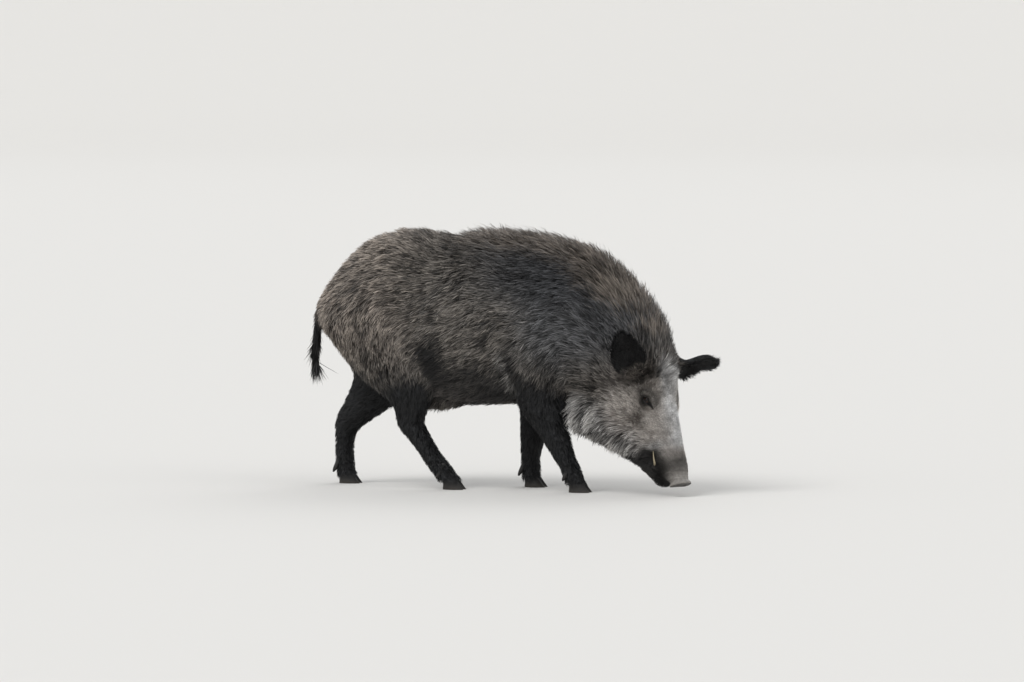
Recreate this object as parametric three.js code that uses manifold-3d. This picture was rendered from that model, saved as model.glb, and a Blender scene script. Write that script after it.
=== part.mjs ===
// Wild boar (Sus scrofa), adult, winter coat, grazing with its head turned to its right.
// Millimetres. +X runs forward along the trunk, +Y is the animal's left, +Z is up.
// The floor is Z = 0 under the hooves, and the origin is the middle of the bounding box there.
//
// The animal is one smooth body field: chains of elliptical sections blended together.
// Each section row also says how deep the coat lies there, and the solids run out to the hair tips.
// The body is then parted with flat cuts, and the hard pieces (hooves, tusks, eyes, ears) are set in.
import * as THREE from "three";
import { ParametricGeometry } from "three/addons/geometries/ParametricGeometry.js";
import * as BufferGeometryUtils from "three/addons/utils/BufferGeometryUtils.js";
import Module from "manifold-3d";

const wasm = await Module();
wasm.setup();

// ---------- clearances and facet sizes ----------
const GAP = 0.3; // clear space between neighbouring pieces
const CELL_BODY = 50; // facet size on trunk and neck
const CELL_HEAD = 29; // facet size on the head
const CELL_LEG = 29.3; // facet size on the legs
const FAR = 4000; // a length well beyond the animal
const SUBDIVIDE = 3; // smooth steps between two section rows
const ROOT_SOCKET = 0.8; // how much larger a socket is than the piece set into it

// ---------- colours ----------
const COAT = { color: 0x6a6058, roughness: 0.95, metalness: 0 };
const FACE = { color: 0x85807a, roughness: 0.95, metalness: 0 };
const DARK = { color: 0x2a2827, roughness: 0.9, metalness: 0 };
const HORN = { color: 0x4d4640, roughness: 0.6, metalness: 0 };
const IVORY = { color: 0xd6cbb0, roughness: 0.4, metalness: 0 };
const EYE = { color: 0x1a110b, roughness: 0.1, metalness: 0 };
const SNOUT_SKIN = { color: 0x857c74, roughness: 0.7, metalness: 0 };

// ---------- trunk and neck ----------
// Rows: x, y, z of the section's centre, half width, half height, coat depth, extra depth on the ridge.
const TRUNK = [
  [-505, 0, 533, 80, 76, 18, 4],
  [-450, 0, 550, 108, 120, 18, 4],
  [-380, 0, 557, 126, 188, 18, 6],
  [-295, 0, 557, 138, 216, 20, 8],
  [-190, 0, 523, 148, 218, 22, 10],
  [-80, 0, 512, 158, 236, 22, 34],
  [50, 0, 510, 163, 229, 22, 38],
  [150, 0, 506, 160, 216, 22, 38],
  [215, 0, 502, 140, 190, 22, 38],
];
const NECK = [
  [200, 0, 505, 138, 182, 22, 38],
  [280, -15, 482, 132, 162, 24, 36],
  [350, -38, 428, 120, 150, 26, 34],
  [408, -60, 362, 98, 128, 24, 26],
];
const THROAT = [
  [318, -50, 248, 78, 60, 32, 0],
  [388, -80, 206, 66, 48, 32, 0],
  [463, -105, 152, 48, 36, 26, 0],
  [520, -122, 98, 34, 26, 10, 0],
];

// ---------- head ----------
const HEADING = THREE.MathUtils.degToRad(-33); // turned to the animal's right
const HEAD_PITCH = THREE.MathUtils.degToRad(71); // nose down
const POLL = [505, -97, 381]; // top of the skull between the ears
// Rows: distance from poll toward the nose, offset toward the forehead, half width, half depth, coat, ridge.
const SKULL = [
  [-5, -48, 70, 76, 16, 12],
  [55, -50, 67, 78, 8, 4],
  [110, -47, 57, 73, 6, 0],
  [180, -38, 52, 62, 6, 0],
  [250, -27, 44, 50, 4, 0],
  [310, -14, 40, 40, 3, 0],
  [345, -5, 36, 34, 2, 0],
];
const JAW = [
  [70, -128, 52, 40, 14, 0],
  [150, -118, 44, 34, 12, 0],
  [230, -92, 38, 31, 8, 0],
  [295, -77, 32, 26, 4, 0],
  [322, -70, 27, 22, 3, 0],
];
const CHEEK = { along: 80, front: -88, side: 58, radii: [72, 56, 34], coat: 22 };
const BROW = { along: 82, front: -1, side: 30, radii: [26, 16, 13], coat: 3 };
const EYE_AT = { along: 96, front: -7, side: 55.5, radius: 12.5 };
const SHEATH = { centre: [-208, 0, 272], radii: [62, 18, 24], coat: 12 };

// ---------- legs ----------
// Rows: x, y, z of the section's centre, half width, half depth fore and aft, coat depth, ridge.
const LEGS = {
  right_fore: [
    [150, -88, 455, 52, 95, 18, 0],
    [142, -92, 350, 46, 74, 16, 0],
    [142, -88, 275, 42, 62, 12, 0],
    [172, -86, 200, 33, 39, 9, 0],
    [205, -85, 130, 27, 29, 8, 0],
    [226, -85, 88, 22, 23, 8, 0],
    [242, -86, 54, 25, 25, 7, 0],
    [252, -86, 30, 24, 23, 5, 0],
  ],
  left_fore: [
    [130, 88, 455, 52, 95, 18, 0],
    [105, 92, 350, 46, 74, 16, 0],
    [84, 88, 275, 40, 54, 11, 0],
    [70, 86, 200, 33, 39, 9, 0],
    [60, 85, 130, 27, 29, 8, 0],
    [56, 85, 88, 22, 23, 8, 0],
    [58, 86, 54, 25, 25, 7, 0],
    [62, 86, 30, 24, 23, 5, 0],
  ],
  right_hind: [
    [-400, -70, 545, 66, 150, 18, 0],
    [-345, -84, 430, 60, 120, 18, 0],
    [-285, -88, 330, 44, 78, 14, 0],
    [-272, -84, 255, 32, 48, 10, 0],
    [-278, -80, 205, 27, 34, 8, 0],
    [-245, -80, 155, 22, 25, 8, 0],
    [-205, -80, 95, 21, 23, 8, 0],
    [-172, -80, 54, 24, 25, 7, 0],
    [-150, -80, 30, 23, 23, 5, 0],
  ],
  left_hind: [
    [-430, 70, 545, 66, 150, 18, 0],
    [-415, 84, 430, 60, 120, 18, 0],
    [-420, 88, 330, 44, 82, 14, 0],
    [-478, 84, 250, 32, 52, 10, 0],
    [-530, 80, 190, 27, 34, 8, 0],
    [-540, 80, 145, 22, 25, 8, 0],
    [-542, 80, 95, 21, 23, 8, 0],
    [-540, 80, 54, 24, 25, 7, 0],
    [-534, 80, 30, 23, 23, 5, 0],
  ],
};

// ---------- blending ----------
const BLEND_LIMB = 46; // how softly a leg runs into the trunk
const BLEND_NECK = 60; // how softly the neck runs into the trunk
const BLEND_HEAD = 26; // how softly cheeks, jaw and brows run into the head

const add = (a, b, s = 1) => [a[0] + b[0] * s, a[1] + b[1] * s, a[2] + b[2] * s];
const dot = (a, b) => a[0] * b[0] + a[1] * b[1] + a[2] * b[2];
const cross = (a, b) => [
  a[1] * b[2] - a[2] * b[1],
  a[2] * b[0] - a[0] * b[2],
  a[0] * b[1] - a[1] * b[0],
];
const unit = (a) => {
  const n = Math.hypot(...a);
  return a.map((v) => v / n);
};
const mix = (a, b, t) => a + (b - a) * t;
const clamp01 = (t) => Math.min(1, Math.max(0, t));
const smoothstep = (lo, hi, v) => {
  const t = clamp01((v - lo) / (hi - lo));
  return t * t * (3 - 2 * t);
};

// The head's own frame: along runs to the nose, front to the forehead, left to its left.
const HEAD_LEFT = [-Math.sin(HEADING), Math.cos(HEADING), 0];
const headForward = [Math.cos(HEADING), Math.sin(HEADING), 0];
const HEAD_ALONG = unit(
  add(headForward.map((v) => v * Math.cos(HEAD_PITCH)), [0, 0, -1], Math.sin(HEAD_PITCH)),
);
const HEAD_FRONT = cross(HEAD_ALONG, HEAD_LEFT);
const headPoint = (along, front, left = 0) =>
  add(add(add(POLL, HEAD_ALONG, along), HEAD_FRONT, front), HEAD_LEFT, left);

/** Catmull-Rom rows between the given section rows, so a chain bends without kinks. */
function smoothRows(rows) {
  const out = [];
  for (let i = 0; i + 1 < rows.length; i += 1) {
    const p = [rows[Math.max(i - 1, 0)], rows[i], rows[i + 1], rows[Math.min(i + 2, rows.length - 1)]];
    for (let k = 0; k < SUBDIVIDE; k += 1) {
      const t = k / SUBDIVIDE;
      out.push(rows[i].map((_, c) => catmull(p.map((row) => row[c]), t)));
    }
  }
  out.push(rows[rows.length - 1]);
  return out;
}

function catmull([a, b, c, d], t) {
  const slopeB = (c - a) / 2;
  const slopeC = (d - b) / 2;
  const t2 = t * t;
  const t3 = t2 * t;
  return (
    b * (2 * t3 - 3 * t2 + 1) + slopeB * (t3 - 2 * t2 + t) +
    c * (3 * t2 - 2 * t3) + slopeC * (t3 - t2)
  );
}

/** Distance to an ellipsoid-like section from the offset q and half sizes r, exact on its surface. */
function ellipseDistance(q, r) {
  const k0 = Math.hypot(q[0] / r[0], q[1] / r[1], q[2] / r[2]);
  const k1 = Math.hypot(q[0] / r[0] ** 2, q[1] / r[1] ** 2, q[2] / r[2] ** 2);
  return k1 > 0 ? (k0 * (k0 - 1)) / k1 : -Math.min(...r);
}

/** Field of one chain of sections, less the coat: negative inside the hair tips. */
function chainField(rows, sideStart, sideEnd = sideStart) {
  const smooth = smoothRows(rows);
  const spans = smooth.slice(0, -1).map((row, i) => {
    const next = smooth[i + 1];
    const axis = add(next.slice(0, 3), row.slice(0, 3), -1);
    const t = (i + 0.5) / (smooth.length - 1);
    const along = unit(axis);
    const blended = sideStart.map((v, c) => mix(v, sideEnd[c], t));
    const side = unit(add(blended, along, -dot(blended, along)));
    return { row, next, length: Math.hypot(...axis), along, side, up: cross(along, side) };
  });
  return (p) => Math.min(...spans.map((span) => spanDistance(span, p)));
}

function spanDistance({ row, next, length, along, side, up }, p) {
  const local = add(p, row, -1);
  const t = clamp01(dot(local, along) / length);
  const q = add(local, along, -t * length);
  const across = dot(q, side);
  const height = dot(q, up);
  const width = mix(row[3], next[3], t);
  const depth = mix(row[4], next[4], t);
  const ridge = smoothstep(0.55, 0.98, height / (Math.hypot(across, height) + 1e-6));
  const coat = mix(row[5], next[5], t) + mix(row[6], next[6], t) * ridge;
  return ellipseDistance([across, height, dot(q, along)], [width, depth, Math.min(width, depth)]) - coat;
}

/** Field of an ellipsoid laid along the head's own axes. */
function headBlob({ along, front, side, radii, coat }, sign) {
  const centre = headPoint(along, front, side * sign);
  return (p) => {
    const q = add(p, centre, -1);
    return ellipseDistance([dot(q, HEAD_ALONG), dot(q, HEAD_FRONT), dot(q, HEAD_LEFT)], radii) - coat;
  };
}

function blend(a, b, k) {
  const h = Math.max(k - Math.abs(a - b), 0) / k;
  return Math.min(a, b) - (h * h * k) / 4;
}

const LEFTWARD = [0, 1, 0];
const headRows = (rows) => rows.map(([along, front, ...rest]) => [...headPoint(along, front), ...rest]);
const trunkField = chainField(TRUNK, LEFTWARD);
const neckField = chainField(NECK, LEFTWARD, HEAD_LEFT);
const throatField = chainField(THROAT, HEAD_LEFT);
const skullField = chainField(headRows(SKULL), HEAD_LEFT);
const jawField = chainField(headRows(JAW), HEAD_LEFT);
const headBlobs = [CHEEK, BROW].flatMap((shape) => [headBlob(shape, 1), headBlob(shape, -1)]);
const legFields = Object.values(LEGS).map((rows) => chainField(rows, LEFTWARD));

function headField(p) {
  let d = blend(skullField(p), jawField(p), BLEND_HEAD);
  for (const blob of headBlobs) d = blend(d, blob(p), BLEND_HEAD);
  return d;
}

function barrelField(p) {
  const sheath = ellipseDistance(add(p, SHEATH.centre, -1), SHEATH.radii) - SHEATH.coat;
  return blend(trunkField(p), sheath, BLEND_LIMB);
}

/** Trunk and legs, without the neck. */
function standingField(p) {
  return legFields.reduce((d, leg) => blend(d, leg(p), BLEND_LIMB), barrelField(p));
}

/** Neck and head, with the throat running to the chin. */
function neckAndHead(p) {
  const bent = blend(neckField(p), throatField(p), BLEND_NECK);
  return blend(bent, headField(p), BLEND_LIMB);
}

/** Trunk, neck and head, without the legs. */
function foreField(p) {
  return blend(trunkField(p), neckAndHead(p), BLEND_NECK);
}

/** The whole animal. */
function bodyField(p) {
  return blend(standingField(p), neckAndHead(p), BLEND_NECK);
}

// ---------- turning the field into solids ----------
function gradient(field, p) {
  const h = 0.5;
  return [0, 1, 2].map((c) => {
    const step = [0, 0, 0];
    step[c] = h;
    return (field(add(p, step)) - field(add(p, step, -1))) / (2 * h);
  });
}

/** Moves a point onto the field's surface by Newton's steps along its slope. */
function settle(field, p) {
  let q = p;
  for (let i = 0; i < 3; i += 1) {
    const g = gradient(field, q);
    q = add(q, g, -field(q) / Math.max(dot(g, g), 0.2));
  }
  return q;
}

/** The field kept inside a box, so a mesh of part of the animal is still closed. */
function boxed(field, low, high, margin) {
  return (p) => Math.max(field(p), ...p.map((v, c) => Math.max(low[c] + margin - v, v + margin - high[c])));
}

/** Surface nets: one vertex per grid cell the surface crosses, four cells joined round each crossing. */
function polygonise(whole, low, high, cell) {
  const field = boxed(whole, low, high, 1.5 * cell);
  const size = low.map((v, c) => Math.ceil((high[c] - v) / cell) + 1);
  const stride = [1, size[0], size[0] * size[1]];
  const at = (i) => low.map((v, c) => v + (Math.floor(i / stride[c]) % size[c]) * cell);
  const total = size[0] * size[1] * size[2];
  const value = Float64Array.from({ length: total }, (_, i) => field(at(i)));
  const vertexOf = new Map();
  const positions = [];
  const corners = Array.from({ length: 8 }, (_, k) => [k & 1, (k >> 1) & 1, k >> 2]);

  const cellVertex = (i) => {
    if (vertexOf.has(i)) return vertexOf.get(i);
    const sum = [0, 0, 0];
    let count = 0;
    for (let a = 0; a < 8; a += 1) {
      for (let c = 0; c < 3; c += 1) {
        if (corners[a][c]) continue;
        const ia = i + dot(corners[a], stride);
        const ib = ia + stride[c];
        if (value[ia] < 0 === value[ib] < 0) continue;
        const point = at(ia);
        point[c] += (cell * value[ia]) / (value[ia] - value[ib]);
        for (let d = 0; d < 3; d += 1) sum[d] += point[d];
        count += 1;
      }
    }
    const vertex = settle(field, sum.map((v) => v / count));
    const index = positions.push(vertex) - 1;
    vertexOf.set(i, index);
    return index;
  };

  const triangles = [];
  for (let i = 0; i < total; i += 1) {
    const place = stride.map((s, c) => Math.floor(i / s) % size[c]);
    for (let c = 0; c < 3; c += 1) {
      const u = (c + 1) % 3;
      const v = (c + 2) % 3;
      if (place[c] + 1 >= size[c] || place[u] === 0 || place[v] === 0) continue;
      const inside = value[i] < 0;
      if (inside === value[i + stride[c]] < 0) continue;
      const ring = [i, i - stride[u], i - stride[u] - stride[v], i - stride[v]].map(cellVertex);
      if (!inside) ring.reverse();
      triangles.push(...splitQuad(ring, positions));
    }
  }
  return toManifold(positions.flat(), triangles);
}

/** Two triangles across a quad's shorter diagonal. */
function splitQuad([a, b, c, d], positions) {
  const length = (i, j) => Math.hypot(...add(positions[i], positions[j], -1));
  return length(a, c) < length(b, d) ? [a, b, c, a, c, d] : [b, c, d, b, d, a];
}

function toManifold(vertices, triangles) {
  const kept = [];
  for (let i = 0; i < triangles.length; i += 3) {
    const [a, b, c] = triangles.slice(i, i + 3);
    if (a !== b && b !== c && c !== a) kept.push(a, b, c);
  }
  return new wasm.Manifold(
    new wasm.Mesh({
      numProp: 3,
      vertProperties: Float32Array.from(vertices),
      triVerts: Uint32Array.from(kept),
    }),
  );
}

/** A three.js geometry as a solid the cuts can work on. */
function solid(geometry) {
  const plain = geometry.clone();
  plain.deleteAttribute("normal");
  plain.deleteAttribute("uv");
  const welded = BufferGeometryUtils.mergeVertices(plain, 1e-3);
  const points = [...welded.attributes.position.array];
  const made = toManifold(points, [...welded.index.array]);
  return made.volume() > 0 ? made : toManifold(points, [...welded.index.array].reverse());
}

/** A closed skin over rings: rim(t, angle) gives a ring's points and centre(t) its middle. */
function loft(centre, rim, slices, rings) {
  const rows = rings + 1;
  const place = (u, v, target) => {
    const row = Math.round(v * rows);
    const t = clamp01((row - 1) / (rings - 1));
    const point = row === 0 || row === rows ? centre(t) : rim(t, u * 2 * Math.PI);
    target.set(...point);
  };
  return solid(new ParametricGeometry(place, slices, rows));
}

/** A box of the given corners. */
function block(low, high) {
  const box = new THREE.BoxGeometry(...add(high, low, -1));
  box.translate(...low.map((v, c) => (v + high[c]) / 2));
  return solid(box);
}

/** Everything on the side of a plane its normal points to. */
function halfSpace(point, normal) {
  const box = new THREE.BoxGeometry(FAR, FAR, FAR);
  box.translate(0, 0, FAR / 2);
  const turn = new THREE.Quaternion().setFromUnitVectors(
    new THREE.Vector3(0, 0, 1),
    new THREE.Vector3(...normal),
  );
  box.applyQuaternion(turn);
  box.translate(...point);
  return solid(box);
}

/** Parts a body at a plane, half the gap clear on each side: [behind, ahead of the normal]. */
function part(body, point, normal) {
  const n = unit(normal);
  const back = n.map((v) => -v);
  return [
    body.intersect(halfSpace(add(point, back, GAP / 2), back)),
    body.intersect(halfSpace(add(point, n, GAP / 2), n)),
  ];
}

// ---------- ears ----------
// Roots, directions and openings are in the head's frame: along, front, left.
const EARS = {
  right: { root: [4, 18, -109], tip: [-0.7, 0.4, -0.5], opening: [0.25, 0.72, -0.64], length: 139, halfWidth: 50, bow: 0 },
  left: { root: [-12, -2, 66], tip: [0.06, 0.25, 0.93], opening: [0.9, 0.3, 0.1], length: 160, halfWidth: 43, bow: -26 },
};
const EAR_THICKNESS = 9;
const EAR_CUP = 26; // how far the rims curl forward of the ear's back
const EAR_NECK = 0.66; // width at the root as a share of the widest
const headVector = ([along, front, left]) =>
  add(add(HEAD_ALONG.map((v) => v * along), HEAD_FRONT, front), HEAD_LEFT, left);

function ear({ root, tip, opening, length, halfWidth, bow }, grow) {
  const axis = unit(headVector(tip));
  const face = headVector(opening);
  const normal = unit(add(face, axis, -dot(face, axis)));
  const across = cross(axis, normal);
  const start = headPoint(...root);
  const middle = (t) => add(add(start, axis, mix(-grow, length + grow, t)), across, bow * Math.sin(Math.PI * Math.max(0, (t - 0.25) / 0.75)) ** 2);
  const width = (t) => {
    const toRoot = mix(EAR_NECK, 1, Math.sin((Math.min(t / 0.35, 1) * Math.PI) / 2));
    return halfWidth * toRoot * (1 - 0.99 * t ** 3) ** 0.62 + grow;
  };
  const rim = (t, angle) => {
    const w = width(t);
    const curl = EAR_CUP * Math.cos(angle) ** 2 * (w / halfWidth);
    const skin = (EAR_THICKNESS / 2 + grow) * Math.sin(angle) * Math.min(1, w / 12);
    return add(add(middle(t), across, w * Math.cos(angle)), normal, curl + skin);
  };
  return loft(middle, rim, 12, 8);
}

// ---------- hooves and dewclaws ----------
const HOOF_TOP = 30;
const HOOF = { halfLength: 33, halfWidth: 13.5, spread: 14.5, backSet: 8 };
const DEWCLAW = { length: 30, radius: 8, spread: 18 };

/** One of the two main claws: a flat sole, a pointed toe and a front wall leaning back. */
function claw(foot, side) {
  const [x, y] = foot;
  const middle = (t) => [x + mix(4, -HOOF.backSet, t), y + side * HOOF.spread, HOOF_TOP * t];
  const rim = (t, angle) => {
    const length = mix(HOOF.halfLength, HOOF.halfLength * 0.72, t);
    const toe = 1 - 0.35 * Math.max(0, Math.cos(angle)) ** 2;
    const across = HOOF.halfWidth * Math.sin(angle) * toe * mix(1, 0.9, t);
    return add(middle(t), [length * Math.cos(angle), across, 0]);
  };
  return loft(middle, rim, 12, 3).intersect(halfSpace([0, 0, HOOF_TOP - GAP / 2], [0, 0, -1]));
}

function dewclaw(start, side, grow) {
  const axis = unit([-0.35, side * 0.25, -0.9]);
  const middle = (t) => add(start, axis, mix(-grow, DEWCLAW.length + grow, t));
  const rim = (t, angle) => {
    const r = DEWCLAW.radius * Math.sqrt(1 - 0.92 * t * t) + grow;
    return add(middle(t), [r * Math.cos(angle), r * Math.sin(angle), 0]);
  };
  return loft(middle, rim, 8, 4);
}

// ---------- nose, tusks, eyes and tail ----------
const NOSE = { along: 353, front: -5, halfWidth: 37, halfHeight: 30, thickness: 16 };
const TUSK = { root: [294, -50, 38], radius: 5.2, length: 62, flare: 24 };
const TAIL = { root: [-582, 0, 592], length: 262, radius: 15, hang: 34, sway: 10 };

/** The flat rooting disc at the snout's end, standing out as a rim. */
function noseDisc() {
  const middle = (t) => headPoint(NOSE.along + NOSE.thickness * t, NOSE.front);
  const rim = (t, angle) => {
    const flare = mix(0.86, 1, smoothstep(0, 0.7, t)) - 0.12 * smoothstep(0.8, 1, t);
    const across = NOSE.halfWidth * flare * Math.cos(angle);
    const height = NOSE.halfHeight * flare * Math.sin(angle);
    return add(add(middle(t), HEAD_LEFT, across), HEAD_FRONT, height);
  };
  return loft(middle, rim, 17, 5);
}

/** Lower tusk: out of the lip to the side, then curling up toward the eye. */
function tusk(side, grow) {
  const [along, front, left] = TUSK.root;
  const middle = (t) => {
    const bend = t * Math.PI * 0.5;
    const out = TUSK.flare * Math.sin(bend);
    return headPoint(along - TUSK.length * t * t * 0.8, front + 26 * t, side * (left + out));
  };
  const rim = (t, angle) => {
    const r = TUSK.radius * (1 - 0.82 * t * t) + grow;
    return add(add(middle(t), HEAD_FRONT, r * Math.cos(angle)), headVector([0.6, 0, side * 0.8]), r * Math.sin(angle));
  };
  return loft(middle, rim, 8, 6);
}

function eyeball(side, grow) {
  const ball = new THREE.SphereGeometry(EYE_AT.radius + grow, 12, 8);
  ball.translate(...headPoint(EYE_AT.along, EYE_AT.front, side * EYE_AT.side));
  return solid(ball);
}

function tail(grow) {
  const [x, y, z] = TAIL.root;
  const middle = (t) => {
    const down = mix(-grow, TAIL.length + grow, t);
    return [x - TAIL.hang * Math.sin(Math.PI * 0.5 * t), y + TAIL.sway * t, z - down];
  };
  const rim = (t, angle) => {
    const tuft = 0.55 + 0.45 * smoothstep(0.5, 0.75, t) - 0.55 * smoothstep(0.8, 1, t);
    const r = TAIL.radius * Math.max(tuft, 1 - 2.2 * t) + grow;
    return add(middle(t), [r * Math.cos(angle), r * Math.sin(angle), 0]);
  };
  return loft(middle, rim, 10, 9);
}

// ---------- putting the animal together ----------
const group = new THREE.Group();
group.name = "wild_boar";

function addNode(name, shape, look) {
  const { vertProperties, triVerts } = shape.getMesh();
  const geometry = new THREE.BufferGeometry();
  geometry.setAttribute("position", new THREE.BufferAttribute(vertProperties, 3));
  geometry.setIndex(new THREE.BufferAttribute(triVerts, 1));
  geometry.computeVertexNormals();
  const mesh = new THREE.Mesh(geometry, new THREE.MeshStandardMaterial(look));
  mesh.name = name;
  group.add(mesh);
}

const BODY_LOW = [-716, -305, -64];
const BODY_HIGH = [760, 300, 930];
const NECK_PLANE = { point: [300, 0, 500], normal: [1, -0.25, -0.35] };
const HEAD_PLANE = { point: headPoint(-28, 0), normal: headVector([0.9, 0.43, 0]) };
const TRUNK_CUTS = [-328, -58];
const LEG_CUTS = {
  right_fore: { low: [-60, -300, -60], high: [340, 0, 246], knee: 125, fetlock: 60, foot: [262, -86] },
  left_fore: { low: [-60, 0, -60], high: [340, 300, 246], knee: 128, fetlock: 60, foot: [70, 86] },
  right_hind: { low: [-720, -300, -60], high: [-62, -36, 256], knee: 190, fetlock: 60, foot: [-140, -80] },
  left_hind: { low: [-720, 36, -60], high: [-310, 300, 256], knee: 180, fetlock: 60, foot: [-526, 80] },
};
const LEG_NAMES = { fore: ["forearm", "cannon", "pastern"], hind: ["gaskin", "cannon", "pastern"] };

function addLeg(name, mesh) {
  const cut = LEG_CUTS[name];
  const half = [GAP / 2, GAP / 2, GAP / 2];
  const whole = mesh.intersect(block(add(cut.low, half), add(cut.high, half, -1)));
  const [lower, top] = part(whole, [0, 0, cut.knee], [0, 0, 1]);
  const [foot, middle] = part(lower, [0, 0, cut.fetlock], [0, 0, 1]);
  const pastern = part(foot, [0, 0, HOOF_TOP], [0, 0, 1])[1];
  const [x, y] = cut.foot;
  const clawRoots = [1, -1].map((side) => [[x - 34, y + side * DEWCLAW.spread, 62], side]);
  const sockets = clawRoots.map(([root, side]) => dewclaw(root, side, ROOT_SOCKET));
  const pieces = [top, middle, pastern].map((piece) => sockets.reduce((p, s) => p.subtract(s), piece));
  LEG_NAMES[name.split("_")[1]].forEach((label, i) => addNode(`${name}_${label}`, pieces[i], DARK));
  for (const [root, side] of clawRoots) {
    const where = side > 0 ? "left" : "right";
    addNode(`${name}_hoof_${where}`, claw(cut.foot, side), HORN);
    addNode(`${name}_dewclaw_${where}`, dewclaw(root, side, 0), HORN);
  }
}

function addTrunk(body) {
  let rest = Object.values(LEG_CUTS).reduce((b, cut) => b.subtract(block(cut.low, cut.high)), body);
  rest = rest.subtract(tail(ROOT_SOCKET));
  const names = ["rump", "barrel"];
  TRUNK_CUTS.forEach((x, i) => {
    const [behind, ahead] = part(rest, [x, 0, 0], [1, 0, 0]);
    addNode(names[i], behind, COAT);
    rest = ahead;
  });
  addNode("chest", rest, COAT);
}

function addHead(body) {
  const sides = { right: -1, left: 1 };
  let skull = part(body, headPoint(NOSE.along - GAP / 2, 0), HEAD_ALONG)[0];
  for (const [name, side] of Object.entries(sides)) {
    skull = skull.subtract(ear(EARS[name], ROOT_SOCKET));
    skull = skull.subtract(eyeball(side, ROOT_SOCKET)).subtract(tusk(side, ROOT_SOCKET));
    addNode(`${name}_ear`, ear(EARS[name], 0), DARK);
    addNode(`${name}_eye`, eyeball(side, 0), EYE);
    addNode(`${name}_tusk`, tusk(side, 0), IVORY);
  }
  const [cranium, muzzle] = part(skull, headPoint(215, 0), HEAD_ALONG);
  const [lower, snout] = part(muzzle, headPoint(290, -50), headVector([-0.22, 1, 0]));
  addNode("cranium", cranium, FACE);
  addNode("snout", snout, FACE);
  addNode("lower_jaw", lower, FACE);
  addNode("nose_disc", noseDisc(), SNOUT_SKIN);
}

const wholeBody = polygonise(bodyField, BODY_LOW, BODY_HIGH, CELL_BODY);
const legBody = polygonise(standingField, BODY_LOW, [400, 300, 360], CELL_LEG);
const headBody = polygonise(foreField, [202, -338, -58], [760, 160, 620], CELL_HEAD);
const foreBody = polygonise(foreField, [150, -340, -60], [760, 300, 930], CELL_BODY);
addTrunk(part(wholeBody, NECK_PLANE.point, NECK_PLANE.normal)[0]);
const neckOn = part(foreBody, NECK_PLANE.point, NECK_PLANE.normal)[1];
addNode("neck", part(neckOn, HEAD_PLANE.point, HEAD_PLANE.normal)[0], COAT);
addHead(part(headBody, HEAD_PLANE.point, HEAD_PLANE.normal)[1]);
for (const name of Object.keys(LEGS)) addLeg(name, legBody);
addNode("tail", tail(0), DARK);

// The origin is put on the floor under the middle of the bounding box.
const middle = new THREE.Box3().setFromObject(group).getCenter(new THREE.Vector3());
for (const mesh of group.children) mesh.geometry.translate(-middle.x, -middle.y, 0);

export default group;
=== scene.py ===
# %% [markdown]
# # A wild boar, nose to the ground
# A museum model of a wild boar that grazes with its head turned to its right. The frame holds its
# hard facts: where each foot, eye and tusk is, and how far the coat reaches. This script makes what
# is looked at: one skin, the coat over it, eyes, tusks, hooves and the studio.
# Shapes are worked out with numpy as whole arrays, in millimetres, in the boar's own coordinates:
# X runs to the head, Y to the boar's left and Z up from the floor.

# %% The frame
import math
import time
import bmesh
import bpy
import numpy as np
from mathutils import Matrix, Vector


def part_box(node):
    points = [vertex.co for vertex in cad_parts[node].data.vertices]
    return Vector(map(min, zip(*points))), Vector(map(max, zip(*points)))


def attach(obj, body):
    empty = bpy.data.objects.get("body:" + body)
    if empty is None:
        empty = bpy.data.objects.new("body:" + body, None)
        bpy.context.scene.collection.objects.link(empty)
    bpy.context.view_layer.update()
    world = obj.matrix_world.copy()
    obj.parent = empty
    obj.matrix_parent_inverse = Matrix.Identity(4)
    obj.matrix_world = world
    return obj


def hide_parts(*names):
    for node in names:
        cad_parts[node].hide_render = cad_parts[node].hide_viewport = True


started = time.time()


def clock():
    """Seconds since the script began."""
    return f"{time.time() - started:.1f} s"


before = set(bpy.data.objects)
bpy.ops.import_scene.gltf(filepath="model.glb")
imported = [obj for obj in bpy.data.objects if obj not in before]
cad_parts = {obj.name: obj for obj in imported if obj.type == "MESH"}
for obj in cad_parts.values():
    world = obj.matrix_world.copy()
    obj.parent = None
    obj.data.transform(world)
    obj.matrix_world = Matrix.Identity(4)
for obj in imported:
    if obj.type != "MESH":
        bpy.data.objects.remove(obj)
bpy.context.view_layer.update()

# %% [markdown]
# ## The camera
# A long lens from far away keeps the boar's proportions nearly free of perspective. The camera
# looks from in front of the right flank, just above the boar's back, so it is turned 17 degrees
# towards the head and raised 3 degrees.

# %% Camera
AZIMUTH, ELEVATION, DISTANCE = math.radians(17), math.radians(3), 20.0
AIM = np.array([0.0058, 0.0483, 0.4513])
backward = np.array([math.sin(AZIMUTH) * math.cos(ELEVATION), -math.cos(AZIMUTH) * math.cos(ELEVATION),
                     math.sin(ELEVATION)])
rightward = np.cross([0, 0, 1], backward)
rightward /= np.linalg.norm(rightward)
stand = np.eye(4)
stand[:3, 0], stand[:3, 1], stand[:3, 2] = rightward, np.cross(backward, rightward), backward
stand[:3, 3] = AIM + DISTANCE * backward
camera_data = bpy.data.cameras.new("camera")
camera_data.sensor_width, camera_data.lens, camera_data.clip_end = 36, 230.5, 2000
camera = bpy.data.objects.new("camera", camera_data)
bpy.context.scene.collection.objects.link(camera)
camera.matrix_world = Matrix(stand.tolist())
bpy.context.scene.camera = camera
print("camera at", stand[:3, 3].round(2), "metres")

# %% [markdown]
# ## Measures of the body
# An animal's body is well described by rows of sections along a spine. Each row says where the
# middle of a section is, its half width and half height under the coat, how deep the coat lies on
# it and how much deeper it stands on the ridge of the back. They are the frame's own rows, so the
# skin lies inside the frame by the coat's depth.

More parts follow.
